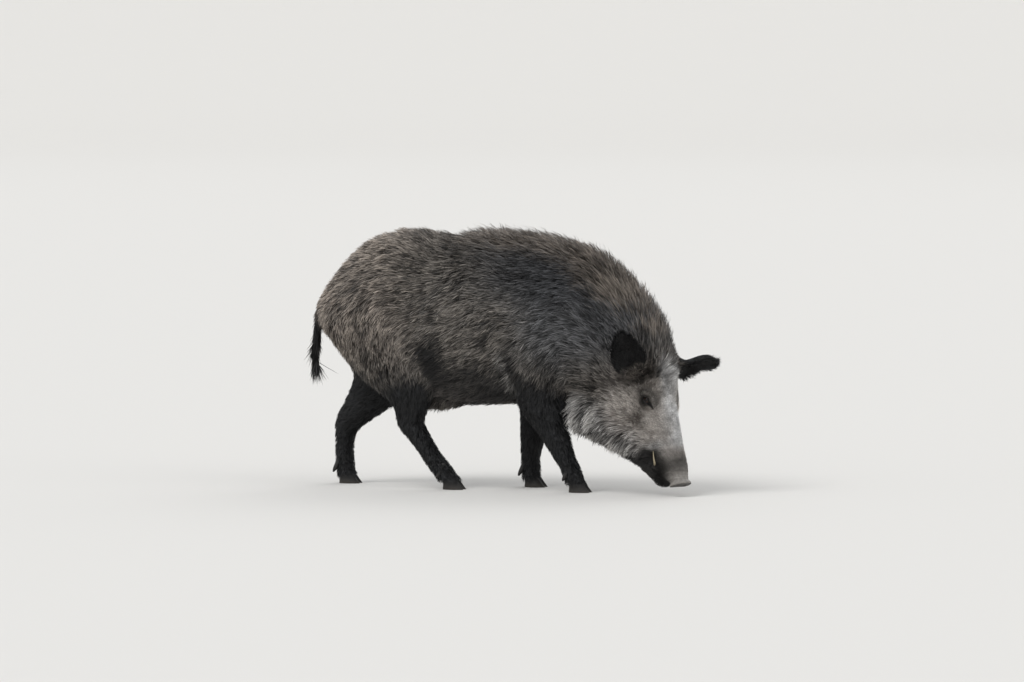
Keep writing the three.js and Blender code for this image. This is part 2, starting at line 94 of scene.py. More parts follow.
# %% Trunk, neck and throat: x, y, z, half width, half height, coat, ridge
TRUNK = [[-505, 0, 533, 80, 76, 18, 4], [-450, 0, 550, 108, 120, 18, 4], [-380, 0, 557, 126, 188, 18, 6],
         [-295, 0, 557, 138, 216, 20, 8], [-190, 0, 523, 148, 218, 22, 10], [-80, 0, 512, 158, 236, 22, 34],
         [50, 0, 510, 163, 229, 22, 38], [150, 0, 506, 160, 216, 22, 38], [215, 0, 502, 140, 190, 22, 38]]
NECK = [[200, 0, 505, 138, 182, 22, 38], [280, -15, 482, 132, 162, 24, 36],
        [350, -38, 428, 120, 150, 26, 34], [408, -60, 362, 98, 128, 24, 26]]
THROAT = [[318, -50, 248, 78, 60, 32, 0], [388, -80, 206, 66, 48, 32, 0],
          [463, -105, 152, 48, 36, 26, 0], [520, -122, 98, 34, 26, 10, 0]]
print("the trunk is", 2 * max(row[3] for row in TRUNK), "mm wide and", 2 * max(row[4] for row in TRUNK),
      "mm deep without its coat")

# %% [markdown]
# The head is turned 33 degrees to the boar's right and hangs 71 degrees down. Its rows would be hard
# to read in the boar's coordinates, so it has axes of its own that start at the poll, the top of the
# head between the ears. Turning the head is then a matter of two angles.

# %% The head's own axes, its skull and its jaw
HEADING, HEAD_PITCH = math.radians(-33), math.radians(71)
POLL = np.array([505.0, -97.0, 381.0])
HEAD_LEFT = np.array([-math.sin(HEADING), math.cos(HEADING), 0.0])
HEAD_ALONG = np.array([math.cos(HEADING) * math.cos(HEAD_PITCH), math.sin(HEADING) * math.cos(HEAD_PITCH),
                       -math.sin(HEAD_PITCH)])
HEAD_FRONT = np.cross(HEAD_ALONG, HEAD_LEFT)
HEAD_AXES = np.array([HEAD_ALONG, HEAD_FRONT, HEAD_LEFT])
print("the nose points to", HEAD_ALONG.round(2), "and the forehead to", HEAD_FRONT.round(2))
# along, front, half width, half depth, coat, ridge
SKULL = [[-5, -48, 70, 76, 16, 12], [55, -50, 67, 78, 8, 4], [110, -47, 57, 73, 6, 0],
         [180, -38, 52, 62, 6, 0], [250, -27, 44, 50, 4, 0], [310, -14, 40, 40, 3, 0],
         [345, -5, 36, 34, 2, 0]]
JAW = [[70, -128, 52, 40, 14, 0], [150, -118, 44, 34, 12, 0], [230, -92, 38, 31, 8, 0],
       [295, -77, 32, 26, 4, 0], [322, -70, 27, 22, 3, 0]]


def head_point(along, front, left):
    """The poll, plus each head axis times its measure."""
    return POLL + np.stack([along, front, left], -1) @ HEAD_AXES


# %% [markdown]
# The boar is caught in a step, so each leg is its own chain of sections from the hip or shoulder down
# to the crown of the hooves. Each could be one leg turned at its joints, but flesh bunches at a bent
# joint, and a row for each place says that directly.

# %% Legs: x, y, z, half width, half depth, coat, ridge
LEGS = {
    "right_fore": [[150, -88, 455, 52, 95, 18, 0], [142, -92, 350, 46, 74, 16, 0],
                   [142, -88, 275, 42, 62, 12, 0], [172, -86, 200, 33, 39, 9, 0],
                   [205, -85, 130, 27, 29, 8, 0], [226, -85, 88, 22, 23, 8, 0],
                   [242, -86, 54, 25, 25, 7, 0], [252, -86, 30, 24, 23, 5, 0]],
    "left_fore": [[130, 88, 455, 52, 95, 18, 0], [105, 92, 350, 46, 74, 16, 0],
                  [84, 88, 275, 40, 54, 11, 0], [70, 86, 200, 33, 39, 9, 0],
                  [60, 85, 130, 27, 29, 8, 0], [56, 85, 88, 22, 23, 8, 0],
                  [58, 86, 54, 25, 25, 7, 0], [62, 86, 30, 24, 23, 5, 0]],
    "right_hind": [[-400, -70, 545, 66, 150, 18, 0], [-345, -84, 430, 60, 120, 18, 0],
                   [-285, -88, 330, 44, 78, 14, 0], [-272, -84, 255, 32, 48, 10, 0],
                   [-278, -80, 205, 27, 34, 8, 0], [-245, -80, 155, 22, 25, 8, 0],
                   [-205, -80, 95, 21, 23, 8, 0], [-172, -80, 54, 24, 25, 7, 0],
                   [-150, -80, 30, 23, 23, 5, 0]],
    "left_hind": [[-430, 70, 545, 66, 150, 18, 0], [-415, 84, 430, 60, 120, 18, 0],
                  [-420, 88, 330, 44, 82, 14, 0], [-478, 84, 250, 32, 52, 10, 0],
                  [-530, 80, 190, 27, 34, 8, 0], [-540, 80, 145, 22, 25, 8, 0],
                  [-542, 80, 95, 21, 23, 8, 0], [-540, 80, 54, 24, 25, 7, 0],
                  [-534, 80, 30, 23, 23, 5, 0]],
}
FEET = {"right_fore": (262, -86), "left_fore": (70, 86), "right_hind": (-140, -80),
        "left_hind": (-526, 80)}
TAIL = [[-548, 0, 592, 13, 13, 3, 0], [-585, 2, 556, 10, 10, 4, 0], [-601, 4, 500, 8, 8, 6, 0],
        [-609, 7, 430, 6.5, 6.5, 8, 0], [-613, 9, 380, 5, 5, 8, 0]]
print("feet stand at", FEET)

# %% [markdown]
# What no spine describes is an ellipsoid: the muscle of each cheek, the brow over each eye, the bone
# round the socket and the sheath under the belly. They are given once and mirrored.

# %% Small masses of the head and belly: middle, radii, coat
EYE_AT, EYE_RADIUS = (96, -8, 52), 12.5
BLOBS = {
    "cheek": ((80, -88, 58), (72, 56, 34), 22),
    "brow": ((82, -3, 36), (29, 16, 16), 3),
    "socket": ((97, -11, 43), (25, 19, 17.5), 1),
}
SHEATH = ((-208, 0, 272), (62, 18, 24), 12)

# The frame's origin lies under the middle of its box, so one known place gives the shift: the near
# front foot, whose toe reaches 37 mm ahead of the foot's middle.
TOE_REACH = 37
toe_low, toe_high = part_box("right_fore_hoof_right")
inner_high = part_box("right_fore_hoof_left")[1]
SHIFT = np.array([toe_high.x * 1000 - (FEET["right_fore"][0] + TOE_REACH),
                  (toe_low.y + inner_high.y) * 500 - FEET["right_fore"][1], 0.0])
print("shift from the boar's own coordinates to the frame, mm:", SHIFT.round(2))

# %% [markdown]
# ## A body as one smooth field
# Flesh has no seams, so the body is not put together from closed pieces. It is a field: a number
# for each place in space that is negative inside the flesh and zero on the skin. Each chain of
# sections gives such a field, and two fields are joined by a soft minimum, which fills the fold
# between a leg and the belly as muscle does.

# %% Small helpers of the field
FAR = 999.0


def mix(a, b, t):
    """a at t = 0, b at t = 1, evenly between."""
    return a + (b - a) * t


def smoothstep(low, high, value):
    """0 below low, 1 above high, and 3 t^2 - 2 t^3 between; low may be the greater."""
    t = np.clip((value - low) / (high - low), 0, 1)
    return t * t * (3 - 2 * t)


def hump(*offsets):
    """A bell of height 1: e to the power of minus the sum of the squared offsets."""
    return np.exp(-sum(offset ** 2 for offset in offsets))


def unit(v):
    """Each row over its own length."""
    return v / np.maximum(np.linalg.norm(v, axis=-1, keepdims=True), 1e-9)


def blend(a, b, k):
    """The smaller of the two, less up to a quarter of k where they are nearly equal."""
    h = np.maximum(k - np.abs(a - b), 0) / k
    return np.minimum(a, b) - h * h * k / 4


def ellipsoid(offset, radii):
    """k (k - 1) / k', with k the offset over the radii and k' the offset over their squares."""
    k = np.sqrt(sum((o / r) ** 2 for o, r in zip(offset, radii)))
    slope = np.sqrt(sum((o / r ** 2) ** 2 for o, r in zip(offset, radii)))
    return k * (k - 1) / np.maximum(slope, 1e-9)


def rounded(a, b, radius):
    """Where both a and b are inside, with the edge between them rounded."""
    a, b = a + radius, b + radius
    return np.minimum(np.maximum(a, b), 0) + np.hypot(np.maximum(a, 0), np.maximum(b, 0)) - radius


# %% [markdown]
# Straight spans between the rows would show as facets, so a cubic curve first puts two more rows in
# each gap. The field of a span is then an ellipsoid's formula at the nearest section: it is zero on
# the section's outline and close to a true distance near it.

# %% Chains of sections
def smooth_rows(rows, steps=3):
    """A cubic between neighbouring rows, whose slope at a row is half the step across it."""
    rows = np.array(rows, float)
    padded = np.vstack([rows[:1], rows, rows[-1:]])
    slopes = (padded[2:] - padded[:-2]) / 2
    t = np.arange(steps)[None, :, None] / steps
    a, b, m, n = rows[:-1, None], rows[1:, None], slopes[:-1, None], slopes[1:, None]
    curve = (a * (2 * t ** 3 - 3 * t ** 2 + 1) + m * (t ** 3 - 2 * t ** 2 + t)
             + b * (3 * t ** 2 - 2 * t ** 3) + n * (t ** 3 - t ** 2))
    return np.vstack([curve.reshape(-1, rows.shape[1]), rows[-1:]])


def chain(rows, side_start, side_end=None):
    """The spans between smoothed rows, each with its own along, side and up directions."""
    smooth = smooth_rows(rows)
    start, end = smooth[:-1], smooth[1:]
    axis = end[:, :3] - start[:, :3]
    along = unit(axis)
    t = ((np.arange(len(start)) + 0.5) / len(start))[:, None]
    side_end = side_start if side_end is None else side_end
    side = mix(np.array(side_start, float), np.array(side_end, float), t)
    side = unit(side - along * (side * along).sum(1, keepdims=True))
    size = smooth[:, 3:5].max(1)[:, None]
    return {"start": start, "end": end, "length": np.linalg.norm(axis, axis=1), "along": along,
            "side": side, "up": np.cross(along, side),
            "low": (smooth[:, :3] - size).min(0), "high": (smooth[:, :3] + size).max(0)}


def measure(spans, points):
    """For each point, its distance to the nearest section and where on the chain that is."""
    best = np.full(len(points), FAR)
    coat, place, angle = np.zeros(len(points)), np.zeros(len(points)), np.zeros(len(points))
    nearest = np.zeros(len(points), int)
    count = len(spans["length"])
    for i in range(count):
        start, end, along, length = (spans[key][i] for key in ("start", "end", "along", "length"))
        local = points - start[:3]
        t = np.clip(local @ along / length, 0, 1)
        local -= np.outer(t * length, along)
        across, height, past = local @ spans["side"][i], local @ spans["up"][i], local @ along
        width, depth = mix(start[3], end[3], t), mix(start[4], end[4], t)
        skin = ellipsoid((across, height, past), (width, depth, np.minimum(width, depth)))
        closer = skin < best
        best[closer] = skin[closer]
        ridge = smoothstep(0.55, 0.98, height / (np.hypot(across, height) + 1e-6))
        coat[closer] = (mix(start[5], end[5], t) + mix(start[6], end[6], t) * ridge)[closer]
        place[closer] = (i + t[closer]) / count
        angle[closer] = np.arctan2(across, height)[closer]
        nearest[closer] = i
    return best, coat, place, angle, nearest


def head_rows(rows):
    """Rows in the head's frame, brought to the boar's own coordinates."""
    rows = np.array(rows, float)
    return np.hstack([head_point(rows[:, 0], rows[:, 1], 0 * rows[:, 0]), rows[:, 2:]])


LEFTWARD = [0, 1, 0]
# Behind its disc the snout is waisted, so the last rows of the skull are slimmer than the frame's.
SKULL_SKIN = SKULL[:-2] + [[305, -15, 39, 39, 3, 0], [338, -7, 31, 27, 2, 0]]
CHAINS = {"trunk": chain(TRUNK, LEFTWARD), "neck": chain(NECK, LEFTWARD, HEAD_LEFT),
          "throat": chain(THROAT, HEAD_LEFT), "skull": chain(head_rows(SKULL_SKIN), HEAD_LEFT),
          "jaw": chain(head_rows(JAW), HEAD_LEFT), "tail": chain(TAIL, LEFTWARD)}
CHAINS.update({name: chain(rows, LEFTWARD) for name, rows in LEGS.items()})
print(sum(len(c["length"]) for c in CHAINS.values()), "spans in", len(CHAINS), "chains")

# %% [markdown]
# ## Ears and nose in the same field
# A boar's ear is a leaf of skin 6 mm thick, bent like a scoop, and its nose ends in a disc of
# gristle that stands out as a rim and holds two nostrils. As fields they grow out of the head with a
# soft root, so the skin stays one piece.

# %% Ears
EARS = {
    "right": {"root": (4, 18, -108), "tip": (-0.7, 0.4, -0.5), "opening": (0.25, 0.72, -0.64),
              "length": 133, "half_width": 47, "bow": 0},
    "left": {"root": (-12, -2, 66), "tip": (0.06, 0.25, 0.93), "opening": (0.9, 0.3, 0.1),
             "length": 156, "half_width": 39, "bow": -26},
}
EAR_THICKNESS, EAR_CUP, EAR_NECK = 8, 26, 0.66
for shape in EARS.values():
    shape["start"] = head_point(*shape["root"])
    shape["axis"] = unit(np.array(shape["tip"]) @ HEAD_AXES)
    opening = np.array(shape["opening"]) @ HEAD_AXES
    shape["normal"] = unit(opening - shape["axis"] * (opening @ shape["axis"]))
    shape["across"] = np.cross(shape["axis"], shape["normal"])
    # The gristle root of the ear: a stalk from inside the skull to the leaf.
    inner = head_point(shape["root"][0] + 12, -22, 0.55 * shape["root"][2])
    outer = shape["start"] + 0.1 * shape["length"] * shape["axis"] - 4 * shape["normal"]
    rows = [[*mix(inner, outer, t), size, size, 10, 0]
            for t, size in ((0, 30), (0.45, 26), (0.8, 21), (1, 14))]
    shape["stalk"] = chain(rows, shape["across"])


def ear_width(shape, t):
    """A leaf: (1 - t^3)^0.62, drawn in to a neck over its first third."""
    toward_root = mix(EAR_NECK, 1, np.sin(np.minimum(t / 0.35, 1) * np.pi / 2))
    return shape["half_width"] * toward_root * (1 - 0.99 * np.clip(t, 0, 1) ** 3) ** 0.62


def ear_frame(shape, points):
    """Place along the ear, across it from its bowed middle line, and out of its hollow face."""
    local = points - shape["start"]
    t = local @ shape["axis"] / shape["length"]
    bow = shape["bow"] * np.sin(np.pi * np.clip((t - 0.25) / 0.75, 0, 1)) ** 2
    return t, local @ shape["across"] - bow, local @ shape["normal"]


def ear_field(shape, points):
    """A plate about a hollow middle surface, cup (across / width) squared, inside the leaf outline."""
    t, across, out = ear_frame(shape, points)
    width = ear_width(shape, np.clip(t, 0, 1))
    share = np.clip(across / np.maximum(width, 6), -1.1, 1.1)
    cup = EAR_CUP * share ** 2 * width / shape["half_width"]
    slope = 2 * EAR_CUP * share / shape["half_width"]
    plate = np.abs(out - cup) / np.sqrt(1 + slope ** 2) - EAR_THICKNESS / 2
    outline = np.maximum(np.abs(across) - width, np.maximum(t - 0.97, -0.01 - t) * shape["length"])
    return rounded(plate, outline, 3.4)


for side, shape in EARS.items():
    print(side, "ear points to", shape["axis"].round(2))

# %% [markdown]
# The disc of the nose is a short cylinder set across the snout. It widens to its front edge, its face
# is dished, and each nostril is an ellipsoid taken out of it.

# %% Nose
NOSE = {"along": 350, "front": -5, "half_width": 36, "half_height": 29.5, "thickness": 17}
NOSTRIL = {"along": 372, "front": -2.5, "side": 12.5, "radii": (17, 6.4, 7.6)}


def nose_field(points):
    """A short round-edged cylinder across the snout, wider to its front, dished, with two nostrils."""
    along, front, left = ((points - POLL) @ HEAD_AXES.T).T
    t = np.clip((along - NOSE["along"]) / NOSE["thickness"], 0, 1)
    flare = mix(0.8, 1, smoothstep(0, 0.75, t))
    radial = ellipsoid((left, front - NOSE["front"], 0 * left),
                       (NOSE["half_width"] * flare, NOSE["half_height"] * flare, 1))
    dish = 2.2 * np.clip(1 - (left / 26) ** 2 - ((front - NOSE["front"]) / 20) ** 2, 0, 1)
    face = along - (NOSE["along"] + NOSE["thickness"]) + dish
    disc = rounded(radial, np.maximum(face, NOSE["along"] - 14 - along), 4)
    for side in (-1, 1):
        hole = ellipsoid((along - NOSTRIL["along"], front - NOSTRIL["front"],
                          left - side * NOSTRIL["side"]), NOSTRIL["radii"])
        disc = -blend(-disc, hole, 3)
    return disc


# %% [markdown]
# The order in which the parts melt together matters, because each soft minimum fills the corner that
# the last one made. Limbs join the trunk first, then neck and head, then the thin ears and nose with a
# small radius so that they stay crisp. The legs are cut flat where the hooves take over.

# %% The whole body's field
BLEND_LIMB, BLEND_NECK, BLEND_HEAD = 46, 60, 26
REACH = 75
SOLE_TOP = 28


def near(low, high, points, reach=REACH):
    """Which points lie in the box from low to high, let out by the reach."""
    return np.all((points > low - reach) & (points < high + reach), axis=1)


def parts_at(points, coated=False):
    """Each part's own field. A part is only worked out near itself and is far everywhere else."""
    found = {}
    for name, spans in CHAINS.items():
        value = np.full(len(points), FAR)
        close = near(spans["low"], spans["high"], points)
        if close.any():
            skin, coat = measure(spans, points[close])[:2]
            value[close] = skin - coat * coated
        found[name] = value
    local = (points - POLL) @ HEAD_AXES.T
    for name, (centre, radii, coat) in BLOBS.items():
        for side in (-1, 1):
            offset = (local - np.array(centre) * [1, 1, side]).T
            found[name + str(side)] = ellipsoid(offset, radii) - coat * coated
    centre, radii, coat = SHEATH
    found["sheath"] = ellipsoid((points - centre).T, radii) - coat * coated
    for side, shape in EARS.items():
        value = np.full(len(points), FAR)
        tip = shape["start"] + shape["axis"] * shape["length"]
        close = near(np.minimum(shape["start"], tip), np.maximum(shape["start"], tip), points)
        if close.any():
            stalk, coat = measure(shape["stalk"], points[close])[:2]
            value[close] = blend(ear_field(shape, points[close]) - 1.5 * coated, stalk - coat * coated, 16)
        found[side + "_ear"] = value
    value = np.full(len(points), FAR)
    close = (local[:, 0] > 290) & (np.abs(local[:, 1:]).max(1) < 90)
    if close.any():
        value[close] = nose_field(points[close])
    found["nose"] = value
    return found


def joined(found, points):
    """The parts melted together in the order in which a body grows: limbs, neck, head, ears, nose."""
    head = blend(found["skull"], found["jaw"], BLEND_HEAD)
    for name in ("cheek", "brow"):
        for side in ("-1", "1"):
            head = blend(head, found[name + side], BLEND_HEAD)
    for side in ("-1", "1"):
        head = blend(head, found["socket" + side], 14)
    body = blend(found["trunk"], found["sheath"], BLEND_LIMB)
    for name in LEGS:
        body = blend(body, found[name], BLEND_LIMB)
    body = blend(body, found["tail"], 20)
    fore = blend(blend(found["neck"], found["throat"], BLEND_NECK), head, BLEND_LIMB)
    body = blend(body, fore, BLEND_NECK)
    for side in EARS:
        body = blend(body, found[side + "_ear"], 16)
    body = blend(body, found["nose"], 5)
    return np.maximum(body, SOLE_TOP - points[:, 2])


def body_field(points, coated=False):
    """Negative inside the skin, or inside the coat's surface when coated."""
    return joined(parts_at(points, coated), points)


def slope_of(points, step=0.6, coated=False):
    """The field's slope, from four corners of a small tetrahedron about each point."""
    corners = np.array([[1, -1, -1], [-1, -1, 1], [-1, 1, -1], [1, 1, 1]], float)
    return sum(corner * body_field(points + step * corner, coated)[:, None]
               for corner in corners) / (4 * step)


def settled(points, rounds=2):
    """Newton's steps: each point moves along the slope by the field over the slope's square."""
    for _ in range(rounds):
        slope = slope_of(points)
        value = body_field(points)
        step = slope * (value / np.maximum((slope ** 2).sum(1), 0.3))[:, None]
        points = points - step * np.minimum(1, 6 / np.maximum(np.linalg.norm(step, axis=1), 1e-9))[:, None]
    return points


print("the poll is", round(-float(body_field(POLL[None])[0]), 1), "mm deep in the flesh")

# %% [markdown]
# ## From field to mesh
# A surface net puts one vertex in every grid cell that the skin passes through and one quad round
# every grid edge that it crosses. Only the cells near the skin are worked out, because a full grid
# would be a hundred times more. The head has a finer grid than the body, since lids, lips and ears
# are small, and the two nets are bridged at a plane through the neck.

# %% Surface nets
def band_values(low, counts, cell, block):
    """Field values on the grid, only in blocks near the skin; NaN elsewhere."""
    values = np.full(counts, np.nan)
    blocks = -(-(np.array(counts) - 1) // block)
    index = np.stack(np.meshgrid(*[np.arange(b) for b in blocks], indexing="ij"), -1).reshape(-1, 3)
    middles = low + (index + 0.5) * block * cell
    close = np.abs(body_field(middles)) < 1.25 * math.sqrt(3) / 2 * block * cell + 4
    inner = np.stack(np.meshgrid(*[np.arange(block + 1)] * 3, indexing="ij"), -1).reshape(-1, 3)
    wanted = np.zeros(counts, bool)
    nodes = (index[close][:, None] * block + inner[None]).reshape(-1, 3)
    nodes = nodes[np.all(nodes < counts, axis=1)]
    wanted[tuple(nodes.T)] = True
    places = np.argwhere(wanted)
    values[wanted] = body_field(low + places * cell)
    return values


def surface_net(low, high, cell, block):
    """Vertices at the mean of the crossings of each cell's edges; a quad round each crossed edge."""
    low = np.array(low, float)
    counts = tuple(np.round((np.array(high) - low) / cell).astype(int) + 1)
    values = band_values(low, counts, cell, block)
    rings, crossings = [], []
    for axis in range(3):
        first = [slice(None)] * 3
        second = [slice(None)] * 3
        first[axis], second[axis] = slice(None, -1), slice(1, None)
        a, b = values[tuple(first)], values[tuple(second)]
        place = np.argwhere(((a < 0) != (b < 0)) & np.isfinite(a) & np.isfinite(b))
        va, vb = a[tuple(place.T)], b[tuple(place.T)]
        one, two = (axis + 1) % 3, (axis + 2) % 3
        offsets = np.zeros((4, 3), int)
        offsets[1, one] = offsets[2, one] = offsets[2, two] = offsets[3, two] = -1
        ring = place[:, None] + offsets[None]
        point = place.astype(float)
        point[:, axis] += va / (va - vb)
        ring[va > 0] = ring[va > 0][:, ::-1]
        rings.append(ring)
        crossings.append(low + point * cell)
    rings, crossings = np.vstack(rings), np.vstack(crossings)
    limits = np.array(counts) - 1
    inside = np.all((rings >= 0) & (rings < limits), axis=(1, 2))
    keys = np.ravel_multi_index(np.clip(rings, 0, limits - 1).reshape(-1, 3).T, limits).reshape(-1, 4)
    used, number = np.unique(keys[inside], return_inverse=True)
    number = number.reshape(-1, 4)
    spread = crossings[inside][:, None].repeat(4, 1).reshape(-1, 3)
    total = np.stack([np.bincount(number.ravel(), spread[:, c], len(used)) for c in range(3)], 1)
    points = total / np.bincount(number.ravel(), minlength=len(used))[:, None]
    return points, number


NECK_X = 414.0
BODY_CELL, HEAD_CELL = 7.2, 3.4
body_points, body_quads = surface_net([NECK_X - BODY_CELL * 147, -266.4, 16],
                                      [NECK_X, 266.4, 16 + BODY_CELL * 116], BODY_CELL, 3)
print("body net", len(body_points), "points", len(body_quads), "quads", clock())
head_points, head_quads = surface_net([NECK_X, -320, 10], [NECK_X + HEAD_CELL * 84, -320 + HEAD_CELL * 120,
                                                           10 + HEAD_CELL * 160], HEAD_CELL, 4)
print("head net", len(head_points), "points", len(head_quads), "quads", clock())


# %% [markdown]
# The two nets end in open loops on either side of one plane. Blender's bridge tool joins such loops
# whatever their number of points. Meshes are made from whole arrays, which is fast, and are moved from
# the boar's coordinates in millimetres to the frame's in metres as they are made.

# %% Meshes from arrays, and the bridge
def mesh_from(name, points, faces, metres=True):
    """A mesh from whole arrays: points in millimetres, faces as rows of three or four numbers."""
    mesh = bpy.data.meshes.new(name)
    where = (points + SHIFT) / 1000 if metres else points
    mesh.vertices.add(len(where))
    mesh.vertices.foreach_set("co", np.ascontiguousarray(where, np.float32).ravel())
    mesh.loops.add(faces.size)
    mesh.loops.foreach_set("vertex_index", np.ascontiguousarray(faces, np.int32).ravel())
    mesh.polygons.add(len(faces))
    mesh.polygons.foreach_set("loop_start", np.arange(0, faces.size, faces.shape[1], dtype=np.int32))
    mesh.polygons.foreach_set("use_smooth", np.ones(len(faces), bool))
    mesh.update(calc_edges=True)
    return mesh


def painted(mesh, colours):
    """Stores a colour for each vertex under the name that the finishes read."""
    data = mesh.color_attributes.new("pelt", "FLOAT_COLOR", "POINT").data
    data.foreach_set("color", np.hstack([colours, np.ones((len(colours), 1))]).astype(np.float32).ravel())


def bridged(points, quads):
    """Joins the two open loops at the neck with a strip of faces and returns triangles."""
    mesh = mesh_from("nets", points, quads, metres=False)
    net = bmesh.new()
    net.from_mesh(mesh)
    rims = [edge for edge in net.edges if edge.is_boundary]
    bmesh.ops.bridge_loops(net, edges=rims)
    bmesh.ops.triangulate(net, faces=net.faces[:])
    print("bridged", len(rims), "rim edges; still open:", sum(edge.is_boundary for edge in net.edges))
    bmesh.ops.recalc_face_normals(net, faces=net.faces[:])
    net.to_mesh(mesh)
    net.free()
    points = np.zeros(len(mesh.vertices) * 3)
    mesh.vertices.foreach_get("co", points)
    triangles = np.zeros(len(mesh.loops), np.int32)
    mesh.loops.foreach_get("vertex_index", triangles)
    bpy.data.meshes.remove(mesh)
    return points.reshape(-1, 3), triangles.reshape(-1, 3)


skin_points, skin_faces = bridged(np.vstack([body_points, head_points]),
                                  np.vstack([body_quads, head_quads + len(body_points)]))

# %% [markdown]
# ## Finer where the face is small
# Lids, lips and nostrils need vertices about a millimetre apart, the back of the boar does not. So
# only chosen areas are split: each edge with both ends in the area gets a vertex at its middle, and
# a triangle with one, two or three such edges becomes two, three or four.


# %% Split chosen triangles
def refine(points, faces, chosen):
    """Halves every edge whose two ends are chosen."""
    pairs = np.sort(np.stack([faces, np.roll(faces, -1, 1)], 2).reshape(-1, 2), 1)
    key = pairs[:, 0].astype(np.int64) * len(points) + pairs[:, 1]
    edges, number = np.unique(key, return_inverse=True)
    ends = np.stack([edges // len(points), edges % len(points)], 1)
    split = chosen[ends].all(1)
    middle = np.full(len(edges), -1)
    middle[split] = len(points) + np.arange(split.sum())
    points = np.vstack([points, points[ends[split]].mean(1)])
    m = middle[number].reshape(-1, 3)
    count = (m >= 0).sum(1)
    # Turn each triangle so that its one split edge, or its two neighbouring ones, come first.
    shift = np.where(count == 1, np.argmax(m >= 0, 1),
                     np.where(count == 2, (np.argmin(m >= 0, 1) + 1) % 3, 0))
    order = (shift[:, None] + np.arange(3)) % 3
    f, m = np.take_along_axis(faces, order, 1), np.take_along_axis(m, order, 1)
    a, b, c = f.T
    ab, bc, ca = m.T
    rows = [f[count == 0]]
    for size, corners in ((1, ((a, ab, c), (ab, b, c))), (2, ((ab, b, bc), (a, ab, bc), (a, bc, c))),
                          (3, ((a, ab, ca), (ab, b, bc), (ca, bc, c), (ab, bc, ca)))):
        rows += [np.stack([x[count == size] for x in corner], 1) for corner in corners]
    return points, np.vstack(rows)


def head_local(points):
    """Along, front and left of each point in the head's frame."""
    return (points - POLL) @ HEAD_AXES.T


def eye_reach(points):
    """Distance to the nearer eye's middle."""
    local = head_local(points)
    return np.linalg.norm(np.stack([local[:, 0], local[:, 1], np.abs(local[:, 2])], 1) - EYE_AT, axis=1)


def relaxed(points, faces, chosen, rounds):
    """Chosen vertices move halfway to the mean of their neighbours, several times."""
    pairs = np.stack([faces, np.roll(faces, -1, 1)], 2).reshape(-1, 2)
    pairs = np.vstack([pairs, pairs[:, ::-1]])
    number = np.maximum(np.bincount(pairs[:, 0], minlength=len(points)), 1)[:, None]
    for _ in range(rounds):
        total = [np.bincount(pairs[:, 0], points[pairs[:, 1], c], len(points)) for c in range(3)]
        points = np.where(chosen[:, None], mix(points, np.stack(total, 1) / number, 0.5), points)
    return points


skin_points = relaxed(skin_points, skin_faces, np.abs(skin_points[:, 0] - NECK_X) < 16, 12)
for level in range(2):
    local = head_local(skin_points)
    area = eye_reach(skin_points) < (38 - 12 * level)
    nose_tip = (local[:, 0] > 334) & (np.abs(local[:, 2]) < 60) & (np.abs(local[:, 1]) < 50)
    mouth = (local[:, 0] > 205) & (local[:, 1] < -18) & (np.abs(local[:, 2]) < 70) & (local[:, 1] > -90)
    area |= nose_tip | mouth if level == 0 else np.zeros(len(area), bool)
    skin_points, skin_faces = refine(skin_points, skin_faces, area)
    print("level", level, "skin has", len(skin_faces), "triangles")
skin_points = settled(skin_points, 3)
print("settled; the field on the skin is within",
      round(float(np.abs(body_field(skin_points)).max()), 2), "mm,", clock())

# %% [markdown]
# ## Noise
# Nothing on an animal repeats. The script's own noise is a random number at each corner of a grid
# of cells, smoothly mixed between the corners. The number comes from the corner's place through a
# fixed hash, so every run gives the same boar.


# %% Value noise
def noise(points, size, seed=0):
    """Random numbers from -1 to 1 at the corners of cells of this size, mixed by a smooth step."""
    q = points / size + seed * 19.37
    cell = np.floor(q).astype(np.int64)
    f = q - cell
    f = f * f * (3 - 2 * f)
    total = np.zeros(len(points))
    for corner in np.ndindex(2, 2, 2):
        k = cell + corner
        h = (k[:, 0] * 73856093 ^ k[:, 1] * 19349663 ^ k[:, 2] * 83492791) & 0xFFFFFFFF
        h = ((h ^ (h >> 15)) * 2246822519) & 0xFFFFFFFF
        h = ((h ^ (h >> 13)) * 3266489917) & 0xFFFFFFFF
        weight = np.prod(np.where(corner, f, 1 - f), axis=1)
        total += weight * ((h ^ (h >> 16)) / 0x7FFFFFFF - 1)
    return total


def vertex_normals(points, faces):
    """The sum of the faces' area vectors about each vertex, made a unit."""
    a, b, c = points[faces.T]
    area = np.cross(b - a, c - a)
    total = np.stack([np.bincount(faces.ravel(), np.repeat(area[:, k], 3), len(points))
                      for k in range(3)], 1)
    return unit(total)


print("noise in 15 mm cells on the skin runs from", noise(skin_points, 15).min().round(2),
      "to", noise(skin_points, 15).max().round(2))

# %% [markdown]
# ## Lids, lips and folds
# A boar's eye is small and lies between two heavy lids on a slanting line. The lids are made by
# moving the skin about the eyeball toward or away from its middle: inside an almond-shaped opening
# the skin drops behind the ball, at the edge it rises over it as a rim, and beyond the rim it runs in
# two folds. The mouth is a groove with a lip on either side, and the snout has shallow wrinkles.

# %% Lids
LID_HALF_LENGTH, LID_HALF_OPENING = 12.0, 6.0
LID_RADIUS = EYE_RADIUS + 1.9
eye_axes = {}
for side in (-1, 1):
    outward = unit(0.93 * side * HEAD_LEFT + 0.36 * HEAD_FRONT + 0.06 * HEAD_ALONG)
    slit = 0.88 * HEAD_ALONG + 0.47 * HEAD_FRONT
    slit = unit(slit - outward * (slit @ outward))
    upper = np.cross(outward, slit) * side
    upper = upper if upper @ HEAD_FRONT > 0 else -upper
    eye_axes[side] = (head_point(EYE_AT[0], EYE_AT[1], side * EYE_AT[2]), outward, slit, upper)


